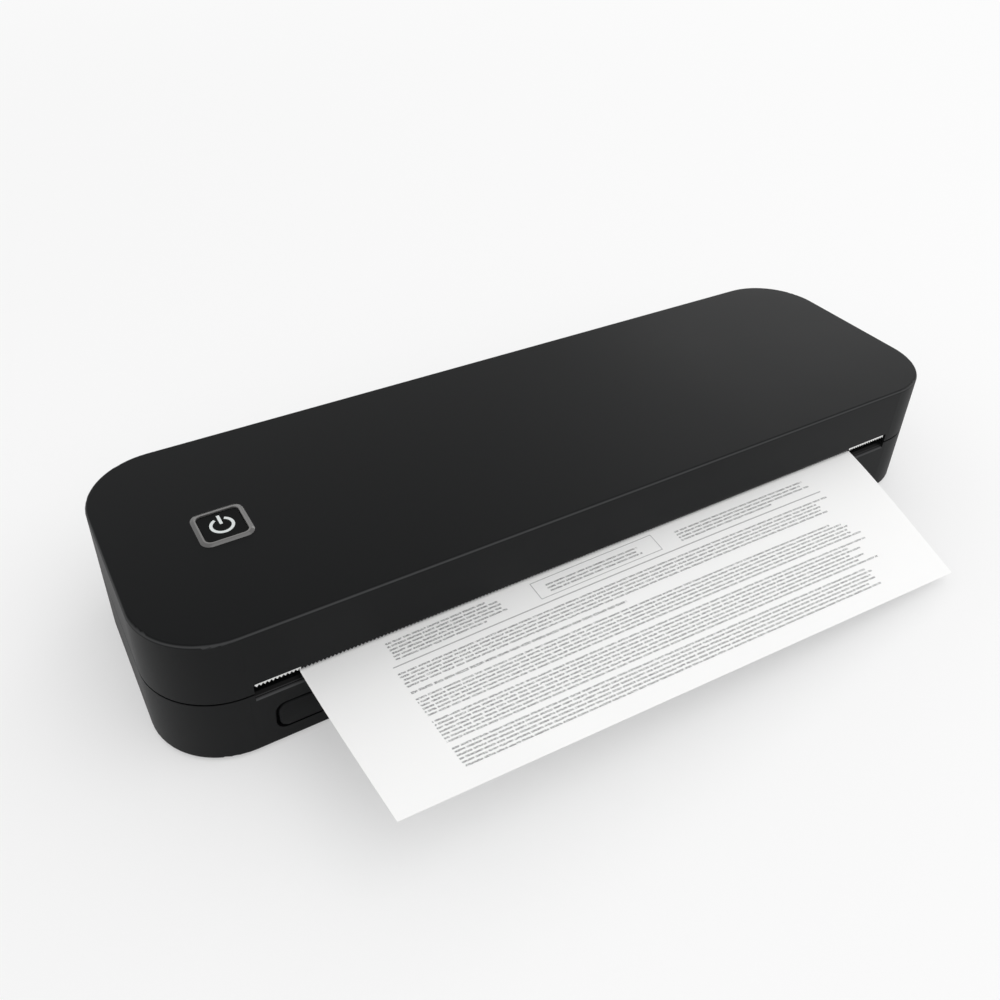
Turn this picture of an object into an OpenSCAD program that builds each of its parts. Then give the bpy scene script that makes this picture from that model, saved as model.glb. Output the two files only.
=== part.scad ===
// Portable thermal printer for A4 paper, with a hinged cover.
// X runs along the printer, Y to the back, Z up. The origin is on the table, under the middle of the case.

/* [Case] */
// Room beyond each end of the paper for the drive and the boards, along X
end_room = 40; // [36:1:55]
// Height of the case above the table
body_height = 45; // [44:0.5:52]
// Radius of the case corners, seen from above
corner_radius = 23; // [16:1:25]
// Thickness of the case walls
wall = 2.2; // [1.8:0.1:2.6]
// Thickness of the case floor
floor_thickness = 2.2; // [1.8:0.1:3]
// Radius of the round along the top edge
edge_round = 1; // [0.5:0.1:1.8]
// Radius of the round along the bottom edge
foot_round = 0.8; // [0.4:0.1:1.5]
// Width of the seam gap
seam_gap = 0.5; // [0.3:0.1:0.8]

/* [Paper slot] */
// Distance from each end of the slot to the start of the case corner
slot_margin = 1.5; // [1:0.1:6]
// Height of the slot's upper edge above the seam
slot_rise = 3.6; // [3:0.1:4.5]
// Depth of the slot's lower lip below the seam
slot_drop = 0.9; // [0.5:0.1:1.5]
// Width of the bevel along the lower lip
lip_bevel = 1.6; // [0.8:0.1:2]

/* [Tear bar] */
// Pitch of the tear bar's teeth
tooth_pitch = 1.27; // [1:0.01:2]
// Height of one tear tooth
tooth_height = 1.1; // [0.6:0.1:1.3]
// Thickness of the tear bar
tear_thickness = 0.6; // [0.4:0.1:0.8]

/* [Paper] */
// Width of the paper
paper_width = 210; // [200:1:212]
// Thickness of the paper
paper_thickness = 0.2; // [0.15:0.01:0.25]
// Reach of the paper's left edge in front of the case
left_reach = 54; // [30:1:60]
// Height of the paper's left front corner
left_corner_height = 26; // [5:1:30]
// Reach of the paper's right edge in front of the case
right_reach = 49; // [30:1:60]
// Height of the paper's right front corner
right_corner_height = 4.5; // [0.5:0.5:24]
// Radius of the paper on the roll
roll_radius = 13; // [11:0.5:16]
// Outer radius of the roll's cardboard core
core_radius = 7; // [6:0.1:8]
// Wall of the cardboard core
core_wall = 1.2; // [0.8:0.1:1.6]

/* [Roller drive] */
// Radius of the rubber platen roller
platen_radius = 6; // [5:0.1:6.5]
// Radius of the platen's steel shaft
platen_shaft_radius = 2.5; // [2:0.1:3]
// Distance of the platen axis behind the case front
platen_setback = 14; // [13:0.5:16]
// Height of the platen axis below the seam
platen_drop = 2.6; // [2:0.1:3.2]
// Size of one gear tooth, pitch diameter over tooth count
gear_module = 0.5; // [0.45:0.01:0.52]
// Teeth on the platen gear
platen_teeth = 32; // [28:1:34]
// Teeth on the idler's small gear
idler_small_teeth = 16; // [14:1:18]
// Teeth on the idler's large gear
idler_large_teeth = 40; // [36:1:42]
// Teeth on the motor pinion
pinion_teeth = 12; // [12:1:14]
// Radius of the stepper motor
motor_radius = 10; // [8:0.5:10.5]
// Length of the stepper motor's can
motor_length = 13; // [10:0.5:13]

/* [Cover parts] */
// Outer size of the square bezel round the power button
bezel_size = 15.7; // [14:0.1:18]
// Height of the bezel above the cover
bezel_proud = 0.6; // [0.3:0.1:1]
// Width of the bezel's rim
bezel_rim = 1.7; // [1.2:0.1:2.2]
// Corner radius of the bezel
bezel_radius = 3; // [2.5:0.1:4]
// Travel of the power button
power_travel = 0.5; // [0.3:0.1:0.8]
// Radius of the hinge knuckles
knuckle_radius = 3; // [2.6:0.1:3.4]
// Radius of the hinge pins
hinge_pin_radius = 1.25; // [1:0.05:1.4]
// Distance of each hinge from the middle of the case
hinge_offset = 88; // [70:1:95]

/* [Release and power] */
// Width of the cover release button
release_width = 34; // [28:1:36]
// Height of the cover release button
release_height = 9.4; // [8:0.1:10]
// Corner radius of the release button
release_radius = 3; // [2:0.1:4]
// Travel of the release button
release_travel = 1.5; // [1:0.1:1.6]
// Radius of one battery cell
cell_radius = 9.2; // [8.8:0.1:9.3]
// Clear space in front of the battery cells and behind them
cell_gap = 1.7; // [1.5:0.1:3]
// Length of one battery cell
cell_length = 65; // [50:1:66]
// Height of the rubber feet below the case floor
foot_height = 1; // [0.8:0.1:1.4]
// Radius of the rubber feet
foot_radius = 6; // [4:0.5:8]

/* [Hidden] */
$fn = 48;

// Clearances
gap = 0.3;
running = 0.05;
same_body = 0.02;
overlap = 0.5;

deck_clearance = 2.6;
deck_rise = 1.2;
cell_lift = 0.4;
cell_headroom = 0.35;
bin_radius = 17;
bin_wall = 1.6;
bin_lift = 0.2;
hinge_room = 6.2;

// Case, sized by what lies inside: the paper's width, and roller, cells and roll one behind the other
cell_room = 2 * (cell_radius + cell_gap);
body_length = paper_width + 2 * end_room;
roll_room = 2 * (bin_wall + bin_radius) + hinge_room;
body_depth = platen_setback + platen_radius + deck_clearance + cell_room + roll_room + wall;
front_y = -body_depth / 2;
rear_y = body_depth / 2;
floor_z = foot_height + floor_thickness;
deck_top = floor_z + cell_lift + 2 * cell_radius + cell_headroom + bin_wall;
seam_low = deck_top - deck_rise;
seam_height = seam_low + seam_gap / 2;
seam_high = seam_low + seam_gap;
ceiling_z = body_height - wall;
inner_front_y = front_y + wall;
inner_half = body_length / 2 - wall;
straight_half = body_length / 2 - corner_radius;
slot_length = 2 * (straight_half - slot_margin);
lip_wall = 1;
lip_height = 1.4;
lip_root = 3;
slot_top = seam_height + slot_rise;
slot_bottom = seam_height - slot_drop;

// Paper path: one straight line from the top of the roll to the slot, touching the platen
platen_y = front_y + platen_setback;
platen_z = seam_height - platen_drop;
roll_z = floor_z + bin_lift + bin_wall + bin_radius;
roll_y = rear_y - wall - bin_wall - bin_radius - hinge_room;
axle_distance = norm([roll_y - platen_y, roll_z - platen_z]);
feed_turn = asin((roll_radius - platen_radius) / axle_distance);
feed_angle = atan2(roll_z - platen_z, roll_y - platen_y) + feed_turn;
path_lift = gap + paper_thickness / 2;
// A point by its distance along the feed line, from the nip, and its height over the roller's tangent
function feed_point(along, over) = [
  platen_y - (platen_radius + over) * sin(feed_angle) + along * cos(feed_angle),
  platen_z + (platen_radius + over) * cos(feed_angle) + along * sin(feed_angle)
];
nip = feed_point(0, 0);
roll_tangent_along = axle_distance * cos(feed_turn);
exit_along = (front_y - feed_point(0, path_lift)[0]) / cos(feed_angle);

// Frames
frame_thickness = 2;
frame_inner = paper_width / 2 + 5;
frame_outer = frame_inner + frame_thickness;
bush_radius = 4;
journal_radius = 2.5;
latch_y = front_y + 8.5;
latch_z = floor_z + 3.3;
latch_radius = 1.5;

// Gears: pitch radii, centres and planes
platen_pitch = gear_module * platen_teeth / 2;
idler_small_pitch = gear_module * idler_small_teeth / 2;
idler_large_pitch = gear_module * idler_large_teeth / 2;
pinion_pitch = gear_module * pinion_teeth / 2;
idler_y = platen_y + platen_pitch + idler_small_pitch;
idler_z = platen_z;
motor_angle = -25;
motor_y = idler_y + (idler_large_pitch + pinion_pitch) * cos(motor_angle);
motor_z = idler_z + (idler_large_pitch + pinion_pitch) * sin(motor_angle);
gear_width = 4;
gear_start = frame_outer + 1;
large_start = gear_start + gear_width + 0.5;
large_width = 2.6;
bracket_start = large_start + large_width + 1;
bracket_thickness = 1.2;
stud_radius = 1.5;
gear_shaft_radius = 2;
backlash = 0.12;
pressure_angle = 20;

// Cover
hinge_y = rear_y;
hinge_z = seam_height;
hinge_length = 24;
hinge_ear = 6;
bezel_x = -(paper_width / 2 + 7.2);
bezel_y = -0.7;
cap_size = bezel_size - 2 * bezel_rim;
tear_y = front_y + 0.5;
tear_top = slot_top + 1.2;

// Release button, by its middle
release_x = -(paper_width / 2 - 6.4);
release_z = foot_height + 5 + release_height / 2;
lever_reach = 7;
hook_x = straight_half + 2;
catch_y = front_y + 3.4;
catch_thickness = 1.4;

/* Shapes used by several pieces */

// Rounded rectangle with true arcs
module rounded_rect(length, depth, radius) {
  square([length - 2 * radius, depth], center = true);
  square([length, depth - 2 * radius], center = true);
  for (sx = [-1, 1], sy = [-1, 1])
    translate([sx * (length / 2 - radius), sy * (depth / 2 - radius)]) circle(r = radius);
}

// Half section of a plate's edge, from its middle to its rim, with both edges rounded
module edge_profile(reach, height, low, high) {
  square([reach - max(low, high), height]);
  translate([0, low]) square([reach, height - low - high]);
  translate([reach - high, height - high]) intersection() {
    circle(r = high);
    square(high);
  }
  translate([reach - low, 0]) intersection() {
    translate([0, low]) circle(r = low);
    square(low);
  }
}

// Block with round corners in plan and rounded top and bottom edges
module soft_block(length, depth, radius, height, low, high) {
  along = length - 2 * radius;
  across = depth - 2 * radius;
  translate([-along / 2, -across / 2, 0]) cube([along, across, height]);
  for (turn = [0, 180]) rotate([0, 0, turn]) {
    translate([along / 2, across / 2, 0]) rotate_extrude(angle = 90)
      edge_profile(radius, height, low, high);
    translate([-along / 2, across / 2, 0]) rotate([0, 0, 90]) rotate_extrude(angle = 90)
      edge_profile(radius, height, low, high);
    translate([along / 2, across / 2, 0]) rotate([90, 0, 0]) linear_extrude(across)
      edge_profile(radius, height, low, high);
    translate([-along / 2, across / 2, 0]) rotate([90, 0, 90]) linear_extrude(along)
      edge_profile(radius, height, low, high);
  }
}

// Straight-sided block with round corners in plan, between two heights
module plan_block(inset, low, high) {
  translate([0, 0, low]) linear_extrude(high - low)
    rounded_rect(body_length - 2 * inset, body_depth - 2 * inset, corner_radius - inset);
}

// Cylinder along X between two places
module bar(from, to, y, z, radius) {
  translate([from, y, z]) rotate([0, 90, 0]) cylinder(r = radius, h = to - from);
}

// Ring along X between two places
module tube(from, to, y, z, outer, inner) {
  difference() {
    bar(from, to, y, z, outer);
    bar(from - 1, to + 1, y, z, inner);
  }
}

// Prism along X from an outline given as [y, z] points
module prism_x(from, to, outline) {
  translate([from, 0, 0]) rotate([90, 0, 90]) linear_extrude(to - from) polygon(outline);
}

// Pan-head screw standing on a point, with a cross recess, pointing down
module screw(radius, length) {
  head_radius = 1.9 * radius;
  head_height = 1.1 * radius;
  difference() {
    union() {
      cylinder(r = head_radius, h = head_height);
      translate([0, 0, -length]) cylinder(r = radius, h = length + head_height / 2);
    }
    for (turn = [0, 90]) rotate([0, 0, turn]) translate([-radius, -radius / 6, head_height / 2])
      cube([2 * radius, radius / 3, head_height]);
  }
}

// Involute flank point, by the turn of its rolling line in degrees
function involute(base, turn) = [
  base * (cos(turn) + turn * PI / 180 * sin(turn)),
  base * (sin(turn) - turn * PI / 180 * cos(turn))
];
function spin(p, angle) = [p[0] * cos(angle) - p[1] * sin(angle), p[0] * sin(angle) + p[1] * cos(angle)];

// Outline of a spur gear whose first tooth points along +X
function gear_outline(teeth) =
  let (
    pitch = gear_module * teeth / 2,
    base = pitch * cos(pressure_angle),
    tip = pitch + 0.8 * gear_module,
    root = pitch - 1.15 * gear_module,
    pitch_turn = sqrt(pow(pitch / base, 2) - 1) * 180 / PI,
    tip_turn = sqrt(pow(tip / base, 2) - 1) * 180 / PI,
    offset_angle = pitch_turn - atan(pitch_turn * PI / 180),
    half_tooth = 90 / teeth - backlash / 2 / pitch * 180 / PI,
    start = max(0, root > base ? sqrt(pow(root / base, 2) - 1) * 180 / PI : 0),
    lean = half_tooth + offset_angle,
    half = [for (i = [0 : 3]) spin(involute(base, start + (tip_turn - start) * i / 3), -lean)],
    foot = [root * cos(lean), -root * sin(lean)],
    rise = concat([foot], half),
    fall = [for (i = [len(rise) - 1 : -1 : 0]) [rise[i][0], -rise[i][1]]]
  )
  [for (t = [0 : teeth - 1]) for (p = concat(rise, fall)) spin(p, t * 360 / teeth)];

// Spur gear along X with its first tooth turned to an angle in the YZ plane
module gear(teeth, from, width, phase, bore) {
  translate([from, 0, 0]) rotate([90, 0, 90]) rotate([0, 0, phase]) linear_extrude(width) difference() {
    polygon(gear_outline(teeth));
    circle(r = bore);
  }
}

// Coil spring along Z as one unbroken tube, by its mean radius, wire radius, length and turns
module coil(mean, wire, length, turns) {
  sides = 6;
  steps = 8 * turns;
  function centre(i) = [mean * cos(i * 45), mean * sin(i * 45), length * i / steps];
  function outward(i) = [cos(i * 45), sin(i * 45), 0];
  function ring(i) = [for (s = [0 : sides - 1]) let (a = s * 360 / sides)
    centre(i) + wire * (cos(a) * outward(i) + sin(a) * [0, 0, 1])];
  points = [for (i = [0 : steps]) each ring(i)];
  walls = [for (i = [0 : steps - 1]) for (s = [0 : sides - 1]) let (
    a = i * sides + s,
    b = i * sides + (s + 1) % sides
  ) each [[a, b, b + sides], [a, b + sides, a + sides]]];
  last = steps * sides;
  caps = [for (s = [1 : sides - 2]) each [[0, s + 1, s], [last, last + s, last + s + 1]]];
  polyhedron(points = points, faces = concat(walls, caps));
}

/* Base pieces */

// Places of the case screws, as [x, y]
case_screw_places = [for (sx = [-1, 1], y = [front_y + 20, rear_y - 12]) [sx * (frame_outer + 4), y]];
foot_places = [for (sx = [-1, 1], sy = [-1, 1]) [sx * (straight_half + 4), sy * (body_depth / 2 - 12)]];
foot_recess = 0.6;
case_screw_radius = 1.25;
boss_radius = 3.4;
boss_height = 5;
board_y0 = front_y + 23;
board_y1 = rear_y - 5;
board_x0 = -(frame_outer + 19);
board_x1 = -(frame_outer + 2);
board_lift = 1.8;
board_thickness = 1.6;
board_z = floor_z + board_lift;
board_screw_places = [for (x = [board_x0 + 3, board_x1 - 3], y = [board_y0 + 3, board_y1 - 14]) [x, y]];
usb_x = board_x1 - 8;
usb_width = 9;
usb_height = 3.2;

module hinge_knuckles(own_middle) {
  half = hinge_length / 2;
  for (side = [-1, 1]) translate([side * hinge_offset, 0, 0]) {
    if (own_middle)
      tube(-half + hinge_ear + gap, half - hinge_ear - gap, hinge_y, hinge_z, knuckle_radius,
        hinge_pin_radius + running);
    else
      for (end = [-half, half - hinge_ear])
        tube(end, end + hinge_ear, hinge_y, hinge_z, knuckle_radius, hinge_pin_radius + same_body);
  }
}

// Room in a wall for the other half's knuckles
module knuckle_room(own_middle) {
  half = hinge_length / 2;
  for (side = [-1, 1]) translate([side * hinge_offset, 0, 0]) {
    if (own_middle)
      for (end = [-half - gap, half - hinge_ear - gap])
        bar(end, end + hinge_ear + 2 * gap, hinge_y, hinge_z, knuckle_radius + gap);
    else
      bar(-half + hinge_ear, half - hinge_ear, hinge_y, hinge_z, knuckle_radius + gap);
  }
}

// Web that carries a knuckle on its wall, below the pin for the base and above it for the cover
module knuckle_web(own_middle) {
  half = hinge_length / 2;
  low = own_middle ? seam_high : seam_low - knuckle_radius;
  for (side = [-1, 1]) translate([side * hinge_offset, 0, 0]) {
    if (own_middle)
      translate([-half + hinge_ear + gap, hinge_y - wall, low])
        cube([hinge_length - 2 * hinge_ear - 2 * gap, wall - gap, knuckle_radius]);
    else
      for (end = [-half, half - hinge_ear])
        translate([end, hinge_y - wall, low]) cube([hinge_ear, wall - gap, knuckle_radius]);
  }
}

module release_outline(grow) {
  translate([release_x, release_z])
    rounded_rect(release_width + 2 * grow, release_height + 2 * grow, release_radius + grow);
}

// Lower shell: floor, walls, lip behind the seam, slot lip, bosses and hinge ears
module base_housing() {
  shell_height = seam_low - foot_height;
  color("#26272a") difference() {
    union() {
      difference() {
        translate([0, 0, foot_height])
          soft_block(body_length, body_depth, corner_radius, shell_height, foot_round, 0.15);
        plan_block(wall, floor_z, seam_high);
      }
      difference() {
        plan_block(wall - overlap / 2, seam_low - lip_root, seam_low - overlap / 2);
        plan_block(wall + lip_wall + gap, seam_low - lip_root - 1, seam_high);
      }
      difference() {
        plan_block(wall + gap, seam_low - lip_root, seam_low + lip_height);
        plan_block(wall + lip_wall + gap, seam_low - lip_root - 1, seam_high + lip_height);
      }
      hinge_knuckles(false);
      knuckle_web(false);
      for (p = case_screw_places) translate([p[0], p[1], floor_z - overlap])
        cylinder(r = boss_radius, h = boss_height + overlap);
      for (p = board_screw_places) translate([p[0], p[1], floor_z - overlap])
        cylinder(r = 2.4, h = board_lift + overlap);
    }
    knuckle_room(false);
    bar(-straight_half, straight_half, hinge_y, hinge_z, hinge_pin_radius + same_body);
    // Gaps in the rim for the catch tabs
    for (side = [-1, 1]) translate([side * hook_x - 3.5, inner_front_y + 0.02, seam_low - lip_root - 1])
      cube([7, 4, lip_root + lip_height + 2]);
    // Slot lip, lowered and bevelled over the slot's length
    prism_x(-slot_length / 2, slot_length / 2, [
      [front_y - 1, slot_bottom - lip_bevel - 1],
      [inner_front_y - 1.2 + lip_bevel * 0.4, slot_bottom],
      [inner_front_y + lip_wall + 2, slot_bottom],
      [inner_front_y + lip_wall + 2, body_height],
      [front_y - 1, body_height]
    ]);
    // Opening for the release button, and room for its flange behind the wall
    translate([0, inner_front_y + 1, 0]) rotate([90, 0, 0]) linear_extrude(wall + 2) release_outline(0.35);
    translate([0, inner_front_y + lip_wall + 1, 0]) rotate([90, 0, 0]) linear_extrude(lip_wall + 1)
      release_outline(2.2);
    // Opening for the USB socket
    translate([usb_x, rear_y + 1, board_z + board_thickness + usb_height / 2]) rotate([90, 0, 0])
      linear_extrude(wall + lip_wall + 2) rounded_rect(usb_width + 0.8, usb_height + 0.8, usb_height / 2);
    // Foot recesses and screw holes with head recesses
    for (p = foot_places) translate([p[0], p[1], foot_height - 1])
      cylinder(r = foot_radius + 0.2, h = 1 + foot_recess);
    for (p = case_screw_places) translate([p[0], p[1], 0]) {
      cylinder(r = case_screw_radius + same_body, h = body_height);
      cylinder(r = 2 * case_screw_radius + 0.2, h = foot_height + 1.6);
    }
    for (p = board_screw_places) translate([p[0], p[1], floor_z - 0.5])
      cylinder(r = 1 + same_body, h = body_height);
  }
}

// Side plate that carries the platen, the latch shaft and the roll's spindle
module side_frame(right) {
  from = right ? frame_inner : -frame_outer;
  to = from + frame_thickness;
  top = roll_z + 5;
  difference() {
    union() {
      prism_x(from, to, [
        [latch_y - 3, floor_z], [rear_y - 6, floor_z], [rear_y - 6, floor_z + 8], [roll_y + 7, top],
        [roll_y - 7, top], [roll_y - 12, seam_low - 6], [idler_y + 8, seam_low - 6],
        [idler_y + 6, platen_z + 5.5],
        [platen_y - 5, platen_z + 5.5], [latch_y - 3, latch_z + 4]
      ]);
      // Foot flange along the floor, under the case screws
      for (y = [front_y + 20, rear_y - 12])
        translate([right ? to - 0.1 : from - 7.9, y - 5, floor_z + boss_height]) cube([8, 9, 1.4]);
    }
    bar(from - 1, to + 1, platen_y, platen_z, bush_radius - 0.8 + same_body);
    bar(from - 1, to + 1, latch_y, latch_z, latch_radius + running);
    bar(from - 1, to + 1, roll_y, roll_z, journal_radius + running);
    translate([from - 1, roll_y - journal_radius - running, roll_z])
      cube([frame_thickness + 2, 2 * (journal_radius + running), 10]);
    if (right)
      bar(from - 1, to + 1, idler_y, idler_z, stud_radius + same_body);
    through = frame_thickness + 2;
    for (y = [roll_y - 6, roll_y + 3]) translate([from - 1, y, floor_z + 3]) cube([through, 3, 6]);
    for (y = [idler_y + 4, idler_y + 12]) translate([from - 1, y, floor_z + 3]) cube([through, 4, 5]);
    for (y = [front_y + 20, rear_y - 12]) translate([right ? frame_outer + 4 : -frame_outer - 4, y, 0])
      cylinder(r = case_screw_radius + same_body, h = body_height);
  }
}
module left_frame() {
  color("#3a3c40") side_frame(false);
}
module right_frame() {
  color("#3a3c40") side_frame(true);
}

deck_front = platen_y + platen_radius + deck_clearance;

// Moulded bin: a trough for the roll and a deck over the battery
module paper_bin() {
  half = frame_inner - gap;
  trough_top = roll_z + 2;
  color("#303236") difference() {
    union() {
      bar(-half, half, roll_y, roll_z, bin_radius + bin_wall);
      prism_x(-half, half, [
        [deck_front, deck_top], [deck_front, deck_top - 10], [deck_front + bin_wall, deck_top - 10],
        [deck_front + bin_wall, deck_top - bin_wall], [roll_y - bin_radius, deck_top - bin_wall],
        [roll_y - bin_radius, deck_top]
      ]);
      // Feet that stand on the floor
      for (x = [-half + 4, 0, half - 4]) for (y = [roll_y - 12, roll_y + 10])
        translate([x - 1, y, floor_z]) cube([2, 3, bin_radius / 2]);
      translate([-half, roll_y + bin_radius, trough_top - 2]) cube([2 * half, 3, 2]);
    }
    bar(-half - 1, half + 1, roll_y, roll_z, bin_radius);
    prism_x(-half - 1, half + 1, [
      [roll_y - bin_radius - 3, deck_top], [roll_y + bin_radius + 8, trough_top],
      [roll_y + bin_radius + 8, roll_z + 2 * bin_radius], [roll_y - bin_radius - 3, roll_z + 2 * bin_radius]
    ]);
    // Pocket for the paper sensor, and grip slots in the trough
    translate([10, deck_front + 1, deck_top - 5]) cube([6.4, 4.4, 6]);
    for (i = [-4 : 4]) translate([i * 22 - 1, roll_y - 4, floor_z - 1]) cube([2, 8, 6]);
  }
}

module platen_bushes() {
  flange = 1.2;
  color("#c9b98a") for (turn = [0, 180]) translate([0, platen_y, platen_z]) rotate([0, 0, turn]) difference() {
    union() {
      bar(frame_inner - 0.3, frame_outer, 0, 0, bush_radius - 0.8);
      bar(frame_inner - flange, frame_inner - running, 0, 0, bush_radius + 0.6);
    }
    bar(0, body_length, 0, 0, gear_shaft_radius + running);
  }
}

cell_y = deck_front + bin_wall + cell_room / 2 + 0.6;
cell_z = floor_z + cell_lift + cell_radius;

// Tray that holds two cells end to end
module battery_holder() {
  half_run = cell_length + 1;
  half_width = cell_radius - 2.5;
  tray = 1.2;
  color("#232428") difference() {
    union() {
      translate([-half_run - tray, cell_y - half_width, floor_z])
        cube([2 * (half_run + tray), 2 * half_width, cell_radius - 3.2]);
      for (x = [-half_run - tray, -tray / 2, half_run]) translate([x, cell_y - half_width, floor_z])
        cube([tray, 2 * half_width, cell_radius + 2.8]);
    }
    for (x = [-half_run, tray / 2]) bar(x, x + half_run - tray / 2, cell_y, cell_z, cell_radius + 0.1);
  }
}
module battery_cells() {
  color("#3f6fa8") for (side = [-1, 1]) {
    from = side > 0 ? 0.8 : -cell_length - 0.8;
    bar(from + 0.01, from + cell_length - 1.5, cell_y, cell_z, cell_radius);
    bar(from + cell_length - 1.5, from + cell_length - 0.01, cell_y, cell_z, 2.8);
  }
}

// Main circuit board in the left end
module main_board() {
  color("#1f5a3c") difference() {
    translate([board_x0, board_y0, board_z])
      cube([board_x1 - board_x0, board_y1 - board_y0, board_thickness]);
    for (p = board_screw_places) translate([p[0], p[1], 0]) cylinder(r = 1.1, h = body_height);
    for (p = case_screw_places) translate([p[0], p[1], 0]) cylinder(r = boss_radius + gap, h = body_height);
    translate([board_x0 - 1, board_y1 - 6, 0]) cube([5, 10, body_height]);
  }
}
module board_parts() {
  top = board_z + board_thickness;
  wide = board_x1 - board_x0;
  deep = board_y1 - board_y0;
  color("#16171a") {
    translate([board_x0 + 0.3 * wide, board_y0 + 0.16 * deep, top]) cube([0.4 * wide, 0.11 * deep, 1]);
    translate([board_x0 + 0.2 * wide, board_y0 + 0.39 * deep, top]) cube([0.4 * wide, 0.12 * deep, 1.4]);
    for (i = [0 : 3]) translate([board_x0 + (0.15 + 0.2 * i) * wide, board_y0 + 0.31 * deep, top])
      cube([0.13 * wide, 1.6, 1.2]);
    translate([board_x1 - 0.28 * wide, board_y0 + 0.15 * deep, top]) cube([0.22 * wide, 0.12 * deep, 3]);
    for (i = [0, 1]) translate([board_x1 - 0.22 * wide, board_y0 + (0.45 + 0.13 * i) * deep, top])
      cylinder(r = 0.17 * wide, h = 6);
  }
}
module usb_socket() {
  depth = 7.3;
  y0 = rear_y - 0.6 - depth;
  z0 = board_z + board_thickness;
  centre_z = z0 + usb_height / 2 + 0.01;
  color("#b9bbbf") translate([usb_x, y0 + depth, centre_z]) rotate([90, 0, 0]) difference() {
    linear_extrude(depth) rounded_rect(usb_width, usb_height, usb_height / 2 - 0.05);
    translate([0, 0, -1]) linear_extrude(depth) difference() {
      rounded_rect(usb_width - 0.6, usb_height - 0.6, usb_height / 2 - 0.35);
      translate([-usb_width / 2 + 1.6, -0.35]) square([usb_width - 3.2, 0.7]);
    }
  }
}

// Small switch on the left frame that tells when the cover is closed
module cover_switch() {
  color("#202124") {
    difference() {
      translate([-frame_outer - 6, platen_y + 8, seam_low - 8]) cube([6, 9, 6]);
      for (y = [platen_y + 10, platen_y + 15])
        bar(-frame_outer - 7, -frame_outer + 1, y, seam_low - 5, 0.8);
    }
    translate([-frame_outer - 4, platen_y + 11, seam_low - 2]) cube([2, 3, 1.4]);
  }
}
module paper_sensor() {
  color("#0f1012") translate([10.2, platen_y + platen_radius + 3.8, seam_low - 1.8]) cube([6, 4, 2.6]);
}

// Folded bracket that carries the motor and the outer end of the idler's stud
module motor_bracket() {
  color("#a9acb0") difference() {
    union() {
      prism_x(bracket_start, bracket_start + bracket_thickness, [
        [motor_y - 12, floor_z], [motor_y + 12, floor_z], [motor_y + 12, motor_z + 7],
        [motor_y + 6, motor_z + 12], [idler_y + 3, idler_z + 4], [idler_y - 3, idler_z + 4],
        [idler_y - 4, idler_z - 3]
      ]);
      translate([bracket_start, motor_y - 12, floor_z]) cube([9, 24, bracket_thickness]);
    }
    bar(bracket_start - 1, bracket_start + 3, motor_y, motor_z, pinion_pitch + 1.4);
    bar(bracket_start - 1, bracket_start + 3, idler_y, idler_z, stud_radius + same_body);
    for (s = [-1, 1]) bar(bracket_start - 1, bracket_start + 3, motor_y + s * 7.2, motor_z, 0.85);
  }
}
motor_from = bracket_start + bracket_thickness + 0.02;
module stepper_motor() {
  color("#8d9096") difference() {
    union() {
      bar(motor_from, motor_from + motor_length - 1, motor_y, motor_z, motor_radius);
      bar(motor_from + motor_length - 1, motor_from + motor_length, motor_y, motor_z, motor_radius - 0.8);
      bar(motor_from - 1.4, motor_from, motor_y, motor_z, pinion_pitch + 1);
    }
    bar(bracket_start - 2, motor_from + motor_length - 3, motor_y, motor_z, 0.8 + running);
    for (s = [-1, 1]) bar(motor_from - 1, motor_from + 4, motor_y + s * 7.2, motor_z, 0.8 + same_body);
  }
}
module idler_stud() {
  bracket_end = bracket_start + bracket_thickness;
  color("#c4c6c9") {
    bar(frame_inner + 0.2, bracket_end + 0.6, idler_y, idler_z, stud_radius);
    bar(bracket_end + 0.02, bracket_end + 0.9, idler_y, idler_z, 2.3);
  }
}
module hinge_pins() {
  half = hinge_length / 2;
  color("#c4c6c9") for (x = [-hinge_offset, hinge_offset])
    bar(x - half, x + half, hinge_y, hinge_z, hinge_pin_radius);
}
module rubber_feet() {
  color("#151517") for (p = foot_places) translate([p[0], p[1], 0]) {
    cylinder(r = foot_radius - 0.4, h = foot_height + foot_recess);
    translate([0, 0, 0.4]) cylinder(r = foot_radius, h = foot_height + foot_recess - 0.4);
  }
}
module case_screws() {
  color("#55585c") for (p = case_screw_places)
    translate([p[0], p[1], foot_height + 1.6]) rotate([180, 0, 0]) screw(case_screw_radius, boss_height + 4);
}
module board_screws() {
  color("#a9acb0") for (p = board_screw_places)
    translate([p[0], p[1], board_z + board_thickness]) screw(1, 3);
}
module motor_screws() {
  color("#55585c") for (s = [-1, 1])
    translate([bracket_start, motor_y + s * 7.2, motor_z]) rotate([0, -90, 0]) screw(0.8, 4);
}
module latch_spring() {
  color("#c4c6c9") translate([-frame_inner + 0.4, latch_y, latch_z]) rotate([0, 90, 0])
    coil(2.3, 0.3, 6.5, 6);
}

/* Paper */

// Height of one edge of the sheet in front of the case, by its share of the reach
function edge_height(share, start, end, start_slope, end_slope) =
  start * (2 * pow(share, 3) - 3 * pow(share, 2) + 1)
  + start_slope * (pow(share, 3) - 2 * pow(share, 2) + share)
  + end * (3 * pow(share, 2) - 2 * pow(share, 3)) + end_slope * (pow(share, 3) - pow(share, 2));
sheet_start = feed_point(exit_along, path_lift)[1];
right_fall = sheet_start - right_corner_height;
left_curl = 3;
exit_shift = -2.6;
sheet_steps = 18;
sheet_columns = 12;
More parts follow.
